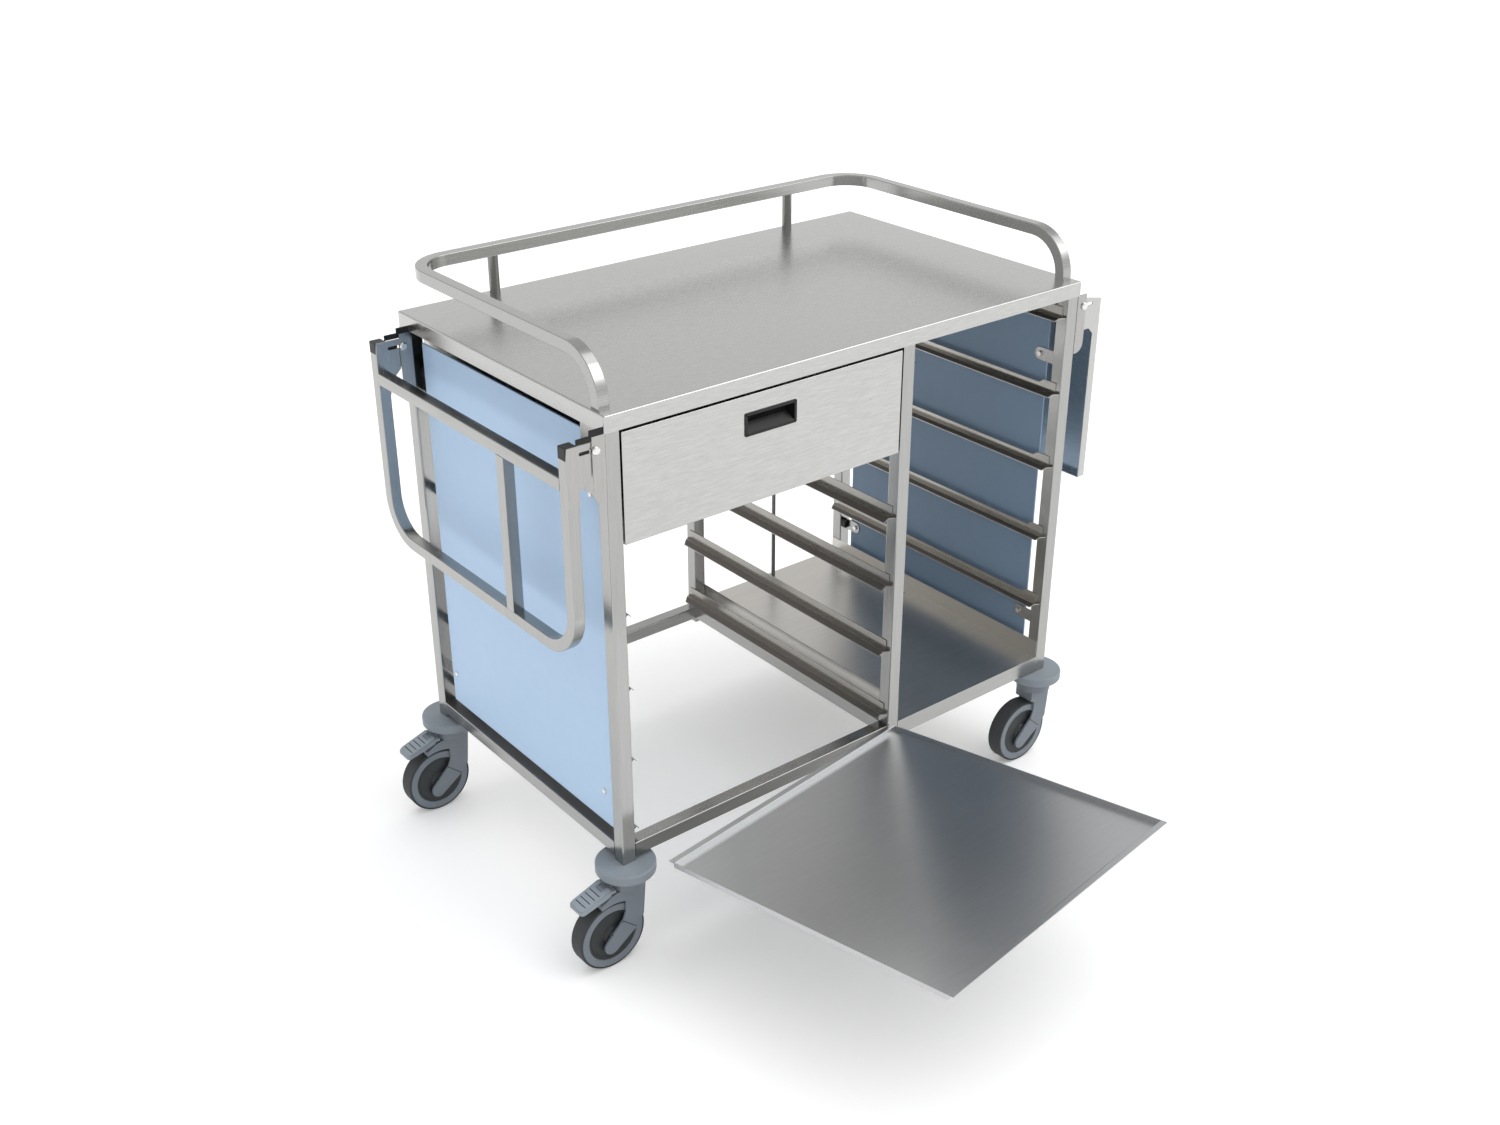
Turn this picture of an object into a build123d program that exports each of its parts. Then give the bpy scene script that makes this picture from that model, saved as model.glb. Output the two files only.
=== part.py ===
from build123d import *
import math
import os

# Food distribution trolley in stainless steel, on four swivel casters.
# The origin is on the floor under the middle of the worktop: +X right, -Y front, +Z up.
# All sizes are in millimetres.

# Worktop and sheet
worktop_length = 1000.0
worktop_depth = 600.0
worktop_edge = 26.5        # height of the turned down edge
sheet = 1.5                # gauge of all folded sheet
frame_height = 749.5       # post foot up to the worktop's lower edge

# Square tube frame
post_side = 25.0
post_wall = 1.5
post_inset = 2.5           # worktop edge to post face
left_bay_width = 553.0     # clear width between the left posts and the middle posts
rail_side = 25.0
rail_lift = 8.5            # post foot up to the bottom rails

# Bottom shelf of the right bay
shelf_apron = 31.0         # depth of the turned down front and rear edges
shelf_flange = 33.0        # height of the raised right edge
shelf_left_flange = 45.0   # height of the raised left edge
shelf_flange_inset = 2.0   # flange end to post face

# Gallery
gallery_tube = 20.0
gallery_wall = 1.5
gallery_rise = 75.0        # worktop up to the rail's middle
gallery_bend = 70.0        # bend radius at the tube's middle
gallery_side_inset = 5.5   # worktop edge to the rail
gallery_rear_inset = 5.0
gallery_foot_inset = 21.0  # worktop front edge to the rail's foot
gallery_post_diameter = 18.0
gallery_post_inset = 177.0  # worktop end to a rear post's middle

# Side panels
panel_thickness = 3.0
panel_side_gap = 22.0      # panel edge to post face
left_panel_front_gap = 14.0  # the left panel's front edge to post face
panel_foot_gap = 13.5      # panel to the rail below
panel_head_gap = 18.5      # panel to the worktop's lower edge
tab_thickness = 2.0
tab_width = 24.0
screw_inset = 15.5         # panel edge to a screw's middle
screw_foot = 60.0          # panel's lower edge to the lower screws
screw_head = 100.0         # panel's upper edge to the upper screws
screw_diameter = 5.0
screw_cap_diameter = 10.0
screw_cap_height = 2.5
screw_dome = 2.0           # round of the head's edge
screw_nut_diameter = 9.0
screw_nut_height = 3.5
clip_size = (8.0, 14.0, 16.0)  # black stop block beside the right panel's rear lower tab

# Tray runners
runner_web = 20.0          # height of the upright web
runner_ledge = 10.0        # width of the level ledge
runner_tip = 17.0          # post face to the outer edge of the sloping lip
runner_end_inset = 4.5     # post's outer face to the ledge's end
runner_web_inset = 11.5    # post's outer face to the web's end
runner_end_cut = 9.0       # length of the slanted end of ledge and lip
runner_tab = 28.0          # length of a web's taller ends
runner_tab_slope = 11.0    # length of the slope down from a taller end
left_runner_count = 4
left_runner_pitch = 129.5
left_runner_foot = 55.5    # post foot up to the lowest ledge
left_runner_fall = 8.0     # fall of the sloping lip
right_runner_count = 5
right_runner_pitch = 141.5
right_runner_foot = 146.0
right_runner_fall = 4.5
right_runner_middle = 12.0  # height of the web between its taller ends

# Rear stop rod of the right bay
stop_rod_diameter = 8.0
stop_rod_offset = 190.0    # divider post face to the rod's middle

# Drawer
drawer_height = 178.0
drawer_thickness = 18.0
drawer_side_gap = 3.0
drawer_head_gap = 5.5
drawer_box_height = 135.0
drawer_box_depth = 576.0
drawer_box_drop = 24.0     # front's upper edge down to the box's rim
slide_height = 45.0
slide_width = 12.5         # post face to the drawer box
slide_start = 24.0         # post's front face to the slides
slide_gap = 0.3
handle_width = 102.0
handle_height = 38.0
handle_drop = 28.0         # drawer's upper edge to the handle
handle_depth = 14.0
handle_frame = 3.0         # width of the handle's rim
handle_rim = 1.5           # how far the rim stands proud
handle_wall = 2.0
handle_fit = 0.2           # clearance of the handle in its cut-out
handle_ramp = 14.0         # rise of the scoop's floor from front to back
handle_taper = 6.0         # how far each side of the scoop closes in towards the back

# End flaps and their hinges
flap_reach = 62.0          # worktop end to a hanging flap's outer face
flap_drop = 338.0          # pivot down to the flap's lower face
pivot_reach = 14.0         # worktop end to the pivot
edge_gap = 1.0             # raised flap to worktop
hinge_plate = 2.0
hinge_gap = 0.3
hinge_eye = 11.0           # radius of the moving plate round the pivot
hinge_slot = 24.0          # length of the lift slot
pin_diameter = 5.0
pin_head_diameter = 14.0
pin_head_height = 4.0
pin_dome = 2.8             # round of the head's edge
pin_nut_diameter = 11.0
pin_nut_height = 4.0
pin_fit = 0.05
bracket_width = 20.0
bracket_height = 106.5
bracket_round = 18.0
bracket_flange = 60.0      # length of a bracket's flange, on the post and past it
buffer_length = 46.0
buffer_heights = (6.5, 2.5, 10.5)  # below, and first and second step above, the bracket's top
buffer_step = 24.0
left_flap_tube = 20.0
left_flap_wall = 1.5
left_flap_bend = 70.0
left_flap_rear_inset = 12.5  # worktop's rear edge to the frame's rear face
left_flap_cross_drop = 38.0  # pivot down to the crossbar
left_flap_bar_offset = 185.0  # front face to the upright bar's middle
left_flap_plate_drop = 54.0  # pivot down to the hinge plate's lower edge
left_flap_plate_cut = 15.0   # slanted corner of the hinge plate
left_flap_plate_toe = 6.0    # hinge plate's lower edge past the leg
left_flap_plate_tail = 25.0  # hinge plate's strip down the leg, below that edge
cap_height = 19.0
cap_plug = 15.0
cap_fit = 0.1
cap_tongue = (20.0, 3.0, 10.0)  # strip from a cap that backs the lift slot
right_flap_flange = 16.0
right_flap_sheet_drop = 25.0  # pivot down to the sheet's upper edge
right_flap_ear_slant = 8.0   # fall of the ear's upper edge towards its outer corner
right_flap_ear_drop = 46.0   # pivot down to the ear's lower edge
right_flap_ear_lean = 5.5    # pivot out to the ear's lower corner
right_flap_ear_cut = 11.0    # slanted corner where the ear meets the flange

# Loose tray, shown in front of the left bay
tray_width = 551.0
tray_depth = 540.0
tray_wall = 10.0
tray_lip = 10.0
tray_yaw = 7.5             # degrees, turned about the upright
tray_rise = 6.5            # degrees, front edge raised
tray_height = 35.5         # post foot up to the lip's corner at the post
tray_overlap = 18.5        # post's right face back to the tray's corner
tray_gap = 0.3

# Casters
wheel_diameter = 125.0
wheel_width = 31.0
tyre_depth = 17.0
tyre_round = 5.0
tyre_fit = 0.05
hub_recess = 4.0
hub_boss_diameter = 24.0
caster_trail = 40.0
crown_gap = 21.7           # tyre up to the crown
crown_diameter = 64.0
crown_height = 23.0
swivel_gap = 0.3
bumper_diameter = 100.0
bumper_height = 17.5
bumper_round = 3.0
stem_diameter = 16.0
stem_fit = 0.05
stem_plug = 45.0           # length of the square plug in the post
stem_collar_diameter = 24.0
stem_collar_height = 3.0
axle_diameter = 10.0
axle_fit = 0.05
fork_leg = 4.0
fork_gap = 0.8             # tyre side to fork leg
fork_skin = 1.0            # metal left over an axle end
fork_seam_width = 1.2
fork_seam_depth = 0.8
fork_bridge = 11.0
fork_collar_room = 2.0     # stem collar to the bridge and the arch
leg_back_reach = 14.8      # swivel axis to the leg's rear edge at the crown
arch_gap = 3.5             # tyre to the arch over it
arch_reach = 62.0          # swivel axis to the far end of a brake's arch
arch_shoulder = 3.5        # fall of a brake's arch down to the pedal
arch_fall = 14.0           # fall of a brake's arch down to its far end

# Outline of a fork leg, as places ahead of and above the axle
leg_heel_back = (-15.0, -8.0)
leg_heel_low = (-15.5, -27.5)
leg_heel_front = (3.0, -29.0)
leg_seam_back = (17.0, 24.0)
leg_seam_front = (44.0, 0.0)
leg_shoulder_front = (59.0, 20.5)
leg_shoulder_back = (24.0, 40.5)

# Brake pedal
pedal_width = 40.0
pedal_start = 43.0         # swivel axis to the pedal's near end
pedal_length = 57.0
pedal_root = 12.0          # pedal height at the near end
pedal_tip = 7.0
pedal_slope = 19.0         # fall of the pedal's upper face
pedal_drop = 12.5          # bumper down to the pedal's highest edge
pedal_plate_height = 3.0   # stepped tread plate on top of the pedal
pedal_plate_inset = 2.0
pedal_neck = 9.0           # pedal's body past its tread plate, towards the crown
pedal_pin_diameter = 5.0
pedal_pin_inset = 6.0
pedal_lug_width = 16.0
pedal_lug_wall = 2.5       # metal round the pedal's pin
pedal_lug_gap = 0.5
pedal_groove_count = 4
pedal_groove_pitch = 9.0
pedal_groove_start = 7.2   # notch to the first groove
pedal_groove_length = 28.0
pedal_groove_width = 1.5
pedal_groove_depth = 1.0

# Levels and places that follow from the sizes above
half_length = worktop_length / 2
half_depth = worktop_depth / 2
wheel_radius = wheel_diameter / 2
crown_z = wheel_diameter + crown_gap
bumper_z = crown_z + crown_height + swivel_gap
foot_z = bumper_z + bumper_height
edge_z = foot_z + frame_height
top_z = edge_z + worktop_edge
post_top_z = top_z - sheet
rail_z = (foot_z + rail_lift, foot_z + rail_lift + rail_side)
shelf_z = rail_z[1]

left_post_x = (post_inset - half_length, post_inset - half_length + post_side)
right_post_x = (-left_post_x[1], -left_post_x[0])
mid_post_x = (left_post_x[1] + left_bay_width, left_post_x[1] + left_bay_width + post_side)
front_post_y = (post_inset - half_depth, post_inset - half_depth + post_side)
rear_post_y = (-front_post_y[1], -front_post_y[0])
caster_x = sum(right_post_x) / 2
caster_y = sum(rear_post_y) / 2

pivot_x = half_length + pivot_reach
pivot_z = top_z - (flap_reach - pivot_reach)
flap_head_z = pivot_z + pivot_reach - edge_gap
flap_foot_z = pivot_z - flap_drop
bracket_y = front_post_y[0]
flap_front_y = bracket_y + hinge_plate + hinge_gap


def block(x, y, z):
    """Make a box between the low and high values of each axis."""
    spans = (x, y, z)
    size = [high - low for low, high in spans]
    middle = [(low + high) / 2 for low, high in spans]
    return Pos(*middle) * Box(*size)


def square_tube(x, y, z, wall, axis):
    """Make a tube that fills a box and is open at both ends of one axis."""
    spans = {"x": x, "y": y, "z": z}
    bore = {name: (low + wall, high - wall) for name, (low, high) in spans.items()}
    bore[axis] = spans[axis]
    return block(x, y, z) - block(bore["x"], bore["y"], bore["z"])


def rod(start, end, diameter):
    """Make a round rod from one point to another."""
    run = Vector(*end) - Vector(*start)
    base = Plane(origin=start, z_dir=run)
    return base * Cylinder(diameter / 2, run.length, align=(Align.CENTER, Align.CENTER, Align.MIN))


def plate_xz(outline, y):
    """Extrude a face drawn in X and Z between two values of Y."""
    return extrude(Plane.XZ.offset(-y[1]) * outline, y[1] - y[0])


def polygon(*points):
    """Make a flat face from its corners."""
    return make_face(Polyline(*points, close=True))


def group(solids):
    """Keep separate solids together in one node."""
    return Compound(children=list(solids))


def bent_square_tube(path, start, heading, side, wall):
    """Sweep a square tube section along a path of straight runs and arcs."""
    base = Plane(origin=start, x_dir=(1, 0, 0), z_dir=heading)
    section = Rectangle(side, side) - Rectangle(side - 2 * wall, side - 2 * wall)
    return sweep(base * section, path=path)


def worktop():
    """Folded pan, open below, with a turned down edge on all four sides."""
    outer = block((-half_length, half_length), (-half_depth, half_depth), (edge_z, top_z))
    inner = block(
        (sheet - half_length, half_length - sheet),
        (sheet - half_depth, half_depth - sheet),
        (edge_z, top_z - sheet),
    )
    return outer - inner


def posts():
    """Six upright tubes, named by their place."""
    places = {"left": left_post_x, "mid": mid_post_x, "right": right_post_x}
    rows = {"front": front_post_y, "rear": rear_post_y}
    span_z = (foot_z, post_top_z)
    return {
        f"{row}_{place}_post": square_tube(x, y, span_z, post_wall, "z")
        for place, x in places.items()
        for row, y in rows.items()
    }


def top_rails():
    """Tubes under the worktop, between the posts."""
    z = (post_top_z - rail_side, post_top_z)
    bays = ((left_post_x[1], mid_post_x[0]), (mid_post_x[1], right_post_x[0]))
    along = [
        square_tube(bay, y, z, post_wall, "x")
        for bay in bays
        for y in (front_post_y, rear_post_y)
    ]
    between = (front_post_y[1], rear_post_y[0])
    across = [
        square_tube(x, between, z, post_wall, "y")
        for x in (left_post_x, mid_post_x, right_post_x)
    ]
    return group(along + across)


def bottom_rails():
    """Tubes at the foot of the frame; the right bay has a shelf instead of cross rails."""
    bay = (left_post_x[1], mid_post_x[0])
    between = (front_post_y[1], rear_post_y[0])
    return {
        "front_rail": square_tube(bay, front_post_y, rail_z, post_wall, "x"),
        "rear_rail": square_tube(bay, rear_post_y, rail_z, post_wall, "x"),
        "left_rail": square_tube(left_post_x, between, rail_z, post_wall, "y"),
        "divider_rail": square_tube(mid_post_x, between, rail_z, post_wall, "y"),
        "right_rail": square_tube(right_post_x, between, rail_z, post_wall, "y"),
    }


def bottom_shelf():
    """Folded sheet between the side rails, with aprons and a raised flange at each side."""
    x = (mid_post_x[1], right_post_x[0])
    y = (front_post_y[0], rear_post_y[1])
    floor = block(x, y, (shelf_z - sheet, shelf_z))
    apron_z = (shelf_z - shelf_apron, shelf_z)
    front = block(x, (y[0], y[0] + sheet), apron_z)
    rear = block(x, (y[1] - sheet, y[1]), apron_z)
    flange_y = (y[0] + shelf_flange_inset, y[1] - shelf_flange_inset)
    left = block((x[0], x[0] + sheet), flange_y, (shelf_z - sheet, shelf_z + shelf_left_flange))
    right = block((x[1] - sheet, x[1]), flange_y, (shelf_z - sheet, shelf_z + shelf_flange))
    return floor + front + rear + left + right


def gallery_rail():
    """One bent tube: up from the left front foot, round the back and down to the right foot."""
    x = half_length - gallery_side_inset - gallery_tube / 2
    front_y = gallery_foot_inset + gallery_tube / 2 - half_depth
    rear_y = half_depth - gallery_rear_inset - gallery_tube / 2
    rail_level = top_z + gallery_rise
    corners = [
        (-x, front_y, top_z),
        (-x, front_y, rail_level),
        (-x, rear_y, rail_level),
        (x, rear_y, rail_level),
        (x, front_y, rail_level),
        (x, front_y, top_z),
    ]
    path = FilletPolyline(*corners, radius=gallery_bend)
    return bent_square_tube(path, corners[0], (0, 0, 1), gallery_tube, gallery_wall)


def gallery_posts():
    """Two round posts under the rear run of the gallery rail."""
    y = half_depth - gallery_rear_inset - gallery_tube / 2
    x = half_length - gallery_post_inset
    rail_foot = top_z + gallery_rise - gallery_tube / 2
    return group(
        rod((post_x, y, top_z), (post_x, y, rail_foot), gallery_post_diameter)
        for post_x in (-x, x)
    )


# The side panels stand in the middle plane of the end posts.
panel_x = caster_x
panel_y = (front_post_y[1] + panel_side_gap, rear_post_y[0] - panel_side_gap)
panel_z = (shelf_z + panel_foot_gap, edge_z - panel_head_gap)
tab_x = panel_x - panel_thickness / 2 - tab_thickness
screw_y = panel_y[1] - screw_inset
screw_levels = (panel_z[0] + screw_foot, panel_z[1] - screw_head)


def mirrored(shape, side):
    """Return a piece drawn for the right end (side 1) or its mirror image (side -1)."""
    return shape if side > 0 else mirror(shape, about=Plane.YZ)


def panel_holes(x):
    """Clearance cuts for one end's four screws."""
    hole = screw_diameter + 2 * pin_fit
    return [
        rod((x[0], row * screw_y, z), (x[1], row * screw_y, z), hole)
        for row in (-1, 1)
        for z in screw_levels
    ]


def side_panel(side):
    """Flat coloured panel at one end."""
    x = (panel_x - panel_thickness / 2, panel_x + panel_thickness / 2)
    front_y = panel_y[0] if side > 0 else front_post_y[1] + left_panel_front_gap
    panel = block(x, (front_y, panel_y[1]), panel_z)
    for hole in panel_holes(x):
        panel -= hole
    return mirrored(panel, side)


def panel_tabs():
    """Round ended tabs, welded to the posts, that hold the panels."""
    x = (tab_x, tab_x + tab_thickness)
    tabs = []
    for side in (-1, 1):
        for row in (-1, 1):
            for z in screw_levels:
                post_face = row * rear_post_y[0]
                reach = sorted((post_face, row * screw_y))
                tab = block(x, reach, (z - tab_width / 2, z + tab_width / 2))
                tab += rod((x[0], row * screw_y, z), (x[1], row * screw_y, z), tab_width)
                for hole in panel_holes(x):
                    tab -= hole
                tabs.append(mirrored(tab, side))
    return group(tabs)


def panel_screws():
    """Dome headed screws with their nuts, each one solid."""
    outer = panel_x + panel_thickness / 2
    screws = []
    for side in (-1, 1):
        for row in (-1, 1):
            for z in screw_levels:
                y = row * screw_y
                shank = rod((tab_x - screw_nut_height, y, z), (outer, y, z), screw_diameter)
                head = rod((outer, y, z), (outer + screw_cap_height, y, z), screw_cap_diameter)
                rim = head.edges().filter_by(GeomType.CIRCLE).sort_by(Axis.X)[-1]
                head = fillet(rim, screw_dome)
                nut = rod((tab_x - screw_nut_height, y, z), (tab_x, y, z), screw_nut_diameter)
                screws.append(mirrored(shank + head + nut, side))
    return group(screws)


def panel_clip():
    """Black stop block on the right panel's rear lower tab, beside the post."""
    z = screw_levels[0]
    width, depth, height = clip_size
    face = rear_post_y[0]
    return block((tab_x - width, tab_x), (face - depth, face), (z - height / 2, z + height / 2))


def runner_web_plate(x, z, middle):
    """Upright web of a runner, lower between its ends."""
    y = (front_post_y[0] + runner_web_inset, rear_post_y[1] - runner_web_inset)
    slope_end = runner_tab + runner_tab_slope
    outline = polygon(
        (y[0], z),
        (y[1], z),
        (y[1], z + runner_web),
        (y[1] - runner_tab, z + runner_web),
        (y[1] - slope_end, z + middle),
        (y[0] + slope_end, z + middle),
        (y[0] + runner_tab, z + runner_web),
        (y[0], z + runner_web),
    )
    return extrude(Plane.YZ.offset(x) * outline, sheet)


def runner(face_x, outward, z, fall, middle):
    """One folded tray runner on a pair of posts: web, level ledge and sloping lip, ends cut slanting."""
    fold_x = face_x + outward * runner_ledge
    tip_x = face_x + outward * runner_tip
    y = (front_post_y[0] + runner_end_inset, rear_post_y[1] - runner_end_inset)
    section = polygon(
        (face_x, z),
        (fold_x, z),
        (tip_x, z - fall),
        (tip_x, z - fall + sheet),
        (fold_x, z + sheet),
        (face_x, z + sheet),
    )
    plan = polygon(
        (face_x, y[0]),
        (face_x, y[1]),
        (tip_x, y[1] - runner_end_cut),
        (tip_x, y[0] + runner_end_cut),
    )
    ledge = plate_xz(section, y) & extrude(Pos(0, 0, z - fall) * plan, fall + sheet, dir=(0, 0, 1))
    return runner_web_plate(min(face_x, face_x + outward * sheet), z, middle) + ledge


def runner_rows(faces, foot, pitch, count, fall, middle):
    """Facing rows of runners on the two walls of a bay."""
    return group(
        runner(face_x, outward, foot_z + foot + pitch * step, fall, middle)
        for face_x, outward in faces
        for step in range(count)
    )


def bay_runners():
    """The runners of both bays."""
    left_faces = ((left_post_x[1], 1), (mid_post_x[0], -1))
    right_faces = ((mid_post_x[1], 1), (right_post_x[0], -1))
    left_rows = (left_runner_foot, left_runner_pitch, left_runner_count)
    right_rows = (right_runner_foot, right_runner_pitch, right_runner_count)
    return {
        "left_bay_runners": runner_rows(left_faces, *left_rows, left_runner_fall, runner_web),
        "right_bay_runners": runner_rows(right_faces, *right_rows, right_runner_fall, right_runner_middle),
    }


def stop_rod():
    """Upright rod at the back of the right bay that keeps trays from sliding out."""
    x = mid_post_x[1] + stop_rod_offset
    top = post_top_z - rail_side
    return rod((x, caster_y, shelf_z), (x, caster_y, top), stop_rod_diameter)


# The drawer fills the top of the left bay.
drawer_x = (left_post_x[1] + drawer_side_gap, mid_post_x[0] - drawer_side_gap)
drawer_z = (edge_z - drawer_head_gap - drawer_height, edge_z - drawer_head_gap)
drawer_y = (front_post_y[0], front_post_y[0] + drawer_thickness)
box_x = (left_post_x[1] + slide_width, mid_post_x[0] - slide_width)
box_y = (drawer_y[1], drawer_y[1] + drawer_box_depth)
box_z = (drawer_z[1] - drawer_box_drop - drawer_box_height, drawer_z[1] - drawer_box_drop)
handle_x = (sum(drawer_x) / 2 - handle_width / 2, sum(drawer_x) / 2 + handle_width / 2)
handle_z = (drawer_z[1] - handle_drop - handle_height, drawer_z[1] - handle_drop)
cup_x = (handle_x[0] + handle_frame, handle_x[1] - handle_frame)
cup_z = (handle_z[0] + handle_frame, handle_z[1] - handle_frame)
slide_z = sum(box_z) / 2


def drawer_front():
    """Folded pan, open at the back, with the cut-out for the handle."""
    pan = block(drawer_x, drawer_y, drawer_z)
    pan -= block(
        (drawer_x[0] + sheet, drawer_x[1] - sheet),
        (drawer_y[0] + sheet, drawer_y[1]),
        (drawer_z[0] + sheet, drawer_z[1] - sheet),
    )
    cut_out = block(
        (cup_x[0] - handle_fit, cup_x[1] + handle_fit),
        (drawer_y[0], drawer_y[0] + sheet),
        (cup_z[0] - handle_fit, cup_z[1] + handle_fit),
    )
    return pan - cut_out


def drawer_box():
    """Open topped box, welded to the plate that closes the back of the drawer front."""
    back_plate = block(
        (drawer_x[0] + sheet, drawer_x[1] - sheet),
        (drawer_y[1] - sheet, drawer_y[1]),
        (drawer_z[0] + sheet, drawer_z[1] - sheet),
    )
    shell = block(box_x, box_y, box_z)
    shell -= block(
        (box_x[0] + sheet, box_x[1] - sheet),
        (box_y[0] + sheet, box_y[1] - sheet),
        (box_z[0] + sheet, box_z[1]),
    )
    return back_plate + shell


def drawer_handle():
    """Recessed pull: a rim on the drawer front and a cup behind it, hollowed as a scoop."""
    rim_y = (drawer_y[0] - handle_rim, drawer_y[0])
    cup_y = (drawer_y[0] - handle_rim, drawer_y[0] + handle_depth)
    handle = block(handle_x, rim_y, handle_z) + block(cup_x, cup_y, cup_z)
    mouth_width = cup_x[1] - cup_x[0] - 2 * handle_wall
    mouth_height = cup_z[1] - cup_z[0] - 2 * handle_wall
    sections = []
    for y, closing, ramp in ((cup_y[0], 0, 0), (cup_y[1] - handle_wall, handle_taper, handle_ramp)):
        middle = (sum(cup_x) / 2, y, sum(cup_z) / 2 + ramp / 2)
        base = Plane(origin=middle, x_dir=(1, 0, 0), z_dir=(0, -1, 0))
        sections.append(base * Rectangle(mouth_width - 2 * closing, mouth_height - ramp))
    return handle - loft(sections, ruled=True)


def slide_channel(web_x, inward, y, half_height, depth):
    """One channel of a drawer slide: an upright web with two flanges."""
    web = block(sorted((web_x, web_x + inward * sheet)), y, (slide_z - half_height, slide_z + half_height))
    flange_x = sorted((web_x, web_x + inward * depth))
    upper = block(flange_x, y, (slide_z + half_height - sheet, slide_z + half_height))
    lower = block(flange_x, y, (slide_z - half_height, slide_z - half_height + sheet))
    return web + upper + lower


def drawer_outer_slides():
    """Fixed slide channels on the posts, open towards the drawer."""
    y = (front_post_y[0] + slide_start, rear_post_y[1] - runner_web_inset)
    depth = slide_width - sheet - slide_gap
    half = slide_height / 2
    return group(
        slide_channel(face, inward, y, half, depth)
        for face, inward in ((left_post_x[1], 1), (mid_post_x[0], -1))
    )


def drawer_inner_slides():
    """Moving slide channels on the drawer box, nested in the fixed ones."""
    y = (front_post_y[0] + slide_start, box_y[1])
    depth = slide_width - sheet - slide_gap
    half = slide_height / 2 - sheet - slide_gap
    return group(
        slide_channel(face, inward, y, half, depth)
        for face, inward in ((box_x[0], -1), (box_x[1], 1))
    )


# Hinges: each has a fixed bracket on a post, a pin, a buffer and a moving plate or ear.
# The left flap's rear hinge faces forwards like its front one; the right flap's faces the back.
left_leg_y = (flap_front_y + hinge_plate, half_depth - left_flap_rear_inset)
left_rear_bracket_y = left_leg_y[1] - left_flap_tube - 2 * hinge_plate - hinge_gap
hinge_places = (
    {"side": -1, "facing": -1, "y": bracket_y},
    {"side": -1, "facing": -1, "y": left_rear_bracket_y},
    {"side": 1, "facing": -1, "y": bracket_y},
    {"side": 1, "facing": 1, "y": rear_post_y[1]},
)


def stacked(y, facing, start, end):
    """Span of a layer between two depths behind a bracket's outer face."""
    return sorted((y - facing * start, y - facing * end))


def hinge_brackets():
    """Fixed plates with a flange on the post and a round lower corner."""
    z = (edge_z - bracket_height, edge_z)
    post_face = right_post_x[1]
    brackets = []
    for place in hinge_places:
        plate_y = stacked(place["y"], place["facing"], 0, hinge_plate)
        plate = block((post_face, half_length + bracket_width), plate_y, z)
        outer_edges = plate.edges().filter_by(Axis.Y).sort_by(Axis.X)[-2:]
        plate = fillet(outer_edges.sort_by(Axis.Z)[0], bracket_round)
        flange_y = stacked(place["y"], place["facing"], 0, bracket_flange)
        flange_y = (flange_y[0], min(flange_y[1], half_depth))
        plate += block((post_face, post_face + hinge_plate), flange_y, z)
        hole_ends = [(pivot_x, end_y, pivot_z) for end_y in plate_y]
        pin_hole = rod(*hole_ends, pin_diameter + 2 * pin_fit)
        brackets.append(mirrored(plate - pin_hole, place["side"]))
    return group(brackets)


def hinge_pins():
    """Shouldered pivot bolts with dome head and nut, each one solid."""
    grip = 2 * (hinge_plate + hinge_gap)
    depths = (
        (-pin_head_height, 0, pin_head_diameter),
        (0, grip, pin_diameter),
        (grip, grip + pin_nut_height, pin_nut_diameter),
    )
    pins = []
    for place in hinge_places:
        pin = None
        for start, end, diameter in depths:
            y = stacked(place["y"], place["facing"], start, end)
            piece = rod((pivot_x, y[0], pivot_z), (pivot_x, y[1], pivot_z), diameter)
            if pin is None:
                ends = piece.edges().filter_by(GeomType.CIRCLE).sort_by(Axis.Y)
                pin = fillet(ends[-1 if place["facing"] > 0 else 0], pin_dome)
            else:
                pin += piece
        pins.append(mirrored(pin, place["side"]))
    return group(pins)


def hinge_buffers():
    """Black stepped strips on top of the left end's brackets, in the brackets' own plane."""
    below, first, second = buffer_heights
    inner_x = half_length + hinge_gap
    outline = polygon(
        (inner_x, edge_z),
        (half_length + bracket_width, edge_z),
        (half_length + bracket_width, edge_z - below),
        (half_length + buffer_length, edge_z - below),
        (half_length + buffer_length, edge_z + first),
        (half_length + buffer_step, edge_z + first),
        (half_length + buffer_step, edge_z + second),
        (inner_x, edge_z + second),
    )
    left_places = [place for place in hinge_places if place["side"] < 0]
    strips = []
    for place in left_places:
        strip = plate_xz(outline, stacked(place["y"], place["facing"], 0, hinge_plate))
        strips.append(mirrored(strip, place["side"]))
    return group(strips)


def lift_slot(y):
    """Cut for the pin and the slot beside it, drawn for the right end."""
    radius = pin_diameter / 2 + pin_fit
    far_x = pivot_x + hinge_slot
    slot = rod((pivot_x, y[0], pivot_z), (pivot_x, y[1], pivot_z), 2 * radius)
    slot += rod((far_x, y[0], pivot_z), (far_x, y[1], pivot_z), 2 * radius)
    return slot + block((pivot_x, far_x), y, (pivot_z - radius, pivot_z + radius))


def eye_plate(corners, y):
    """A hinge plate drawn for the right end, from its head round the pivot and on to its corners."""
    head = flap_head_z - pivot_z
    shoulder = math.sqrt(head**2 - hinge_eye**2) if head > hinge_eye else 0.0
    start = [(shoulder, head), (0.0, hinge_eye), (0.0, -hinge_eye)]
    points = [(pivot_x + x, pivot_z + z) for x, z in start + corners]
    plate = plate_xz(polygon(*points), y)
    plate += rod((pivot_x, y[0], pivot_z), (pivot_x, y[1], pivot_z), 2 * hinge_eye)
    return plate - lift_slot(y)


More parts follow.
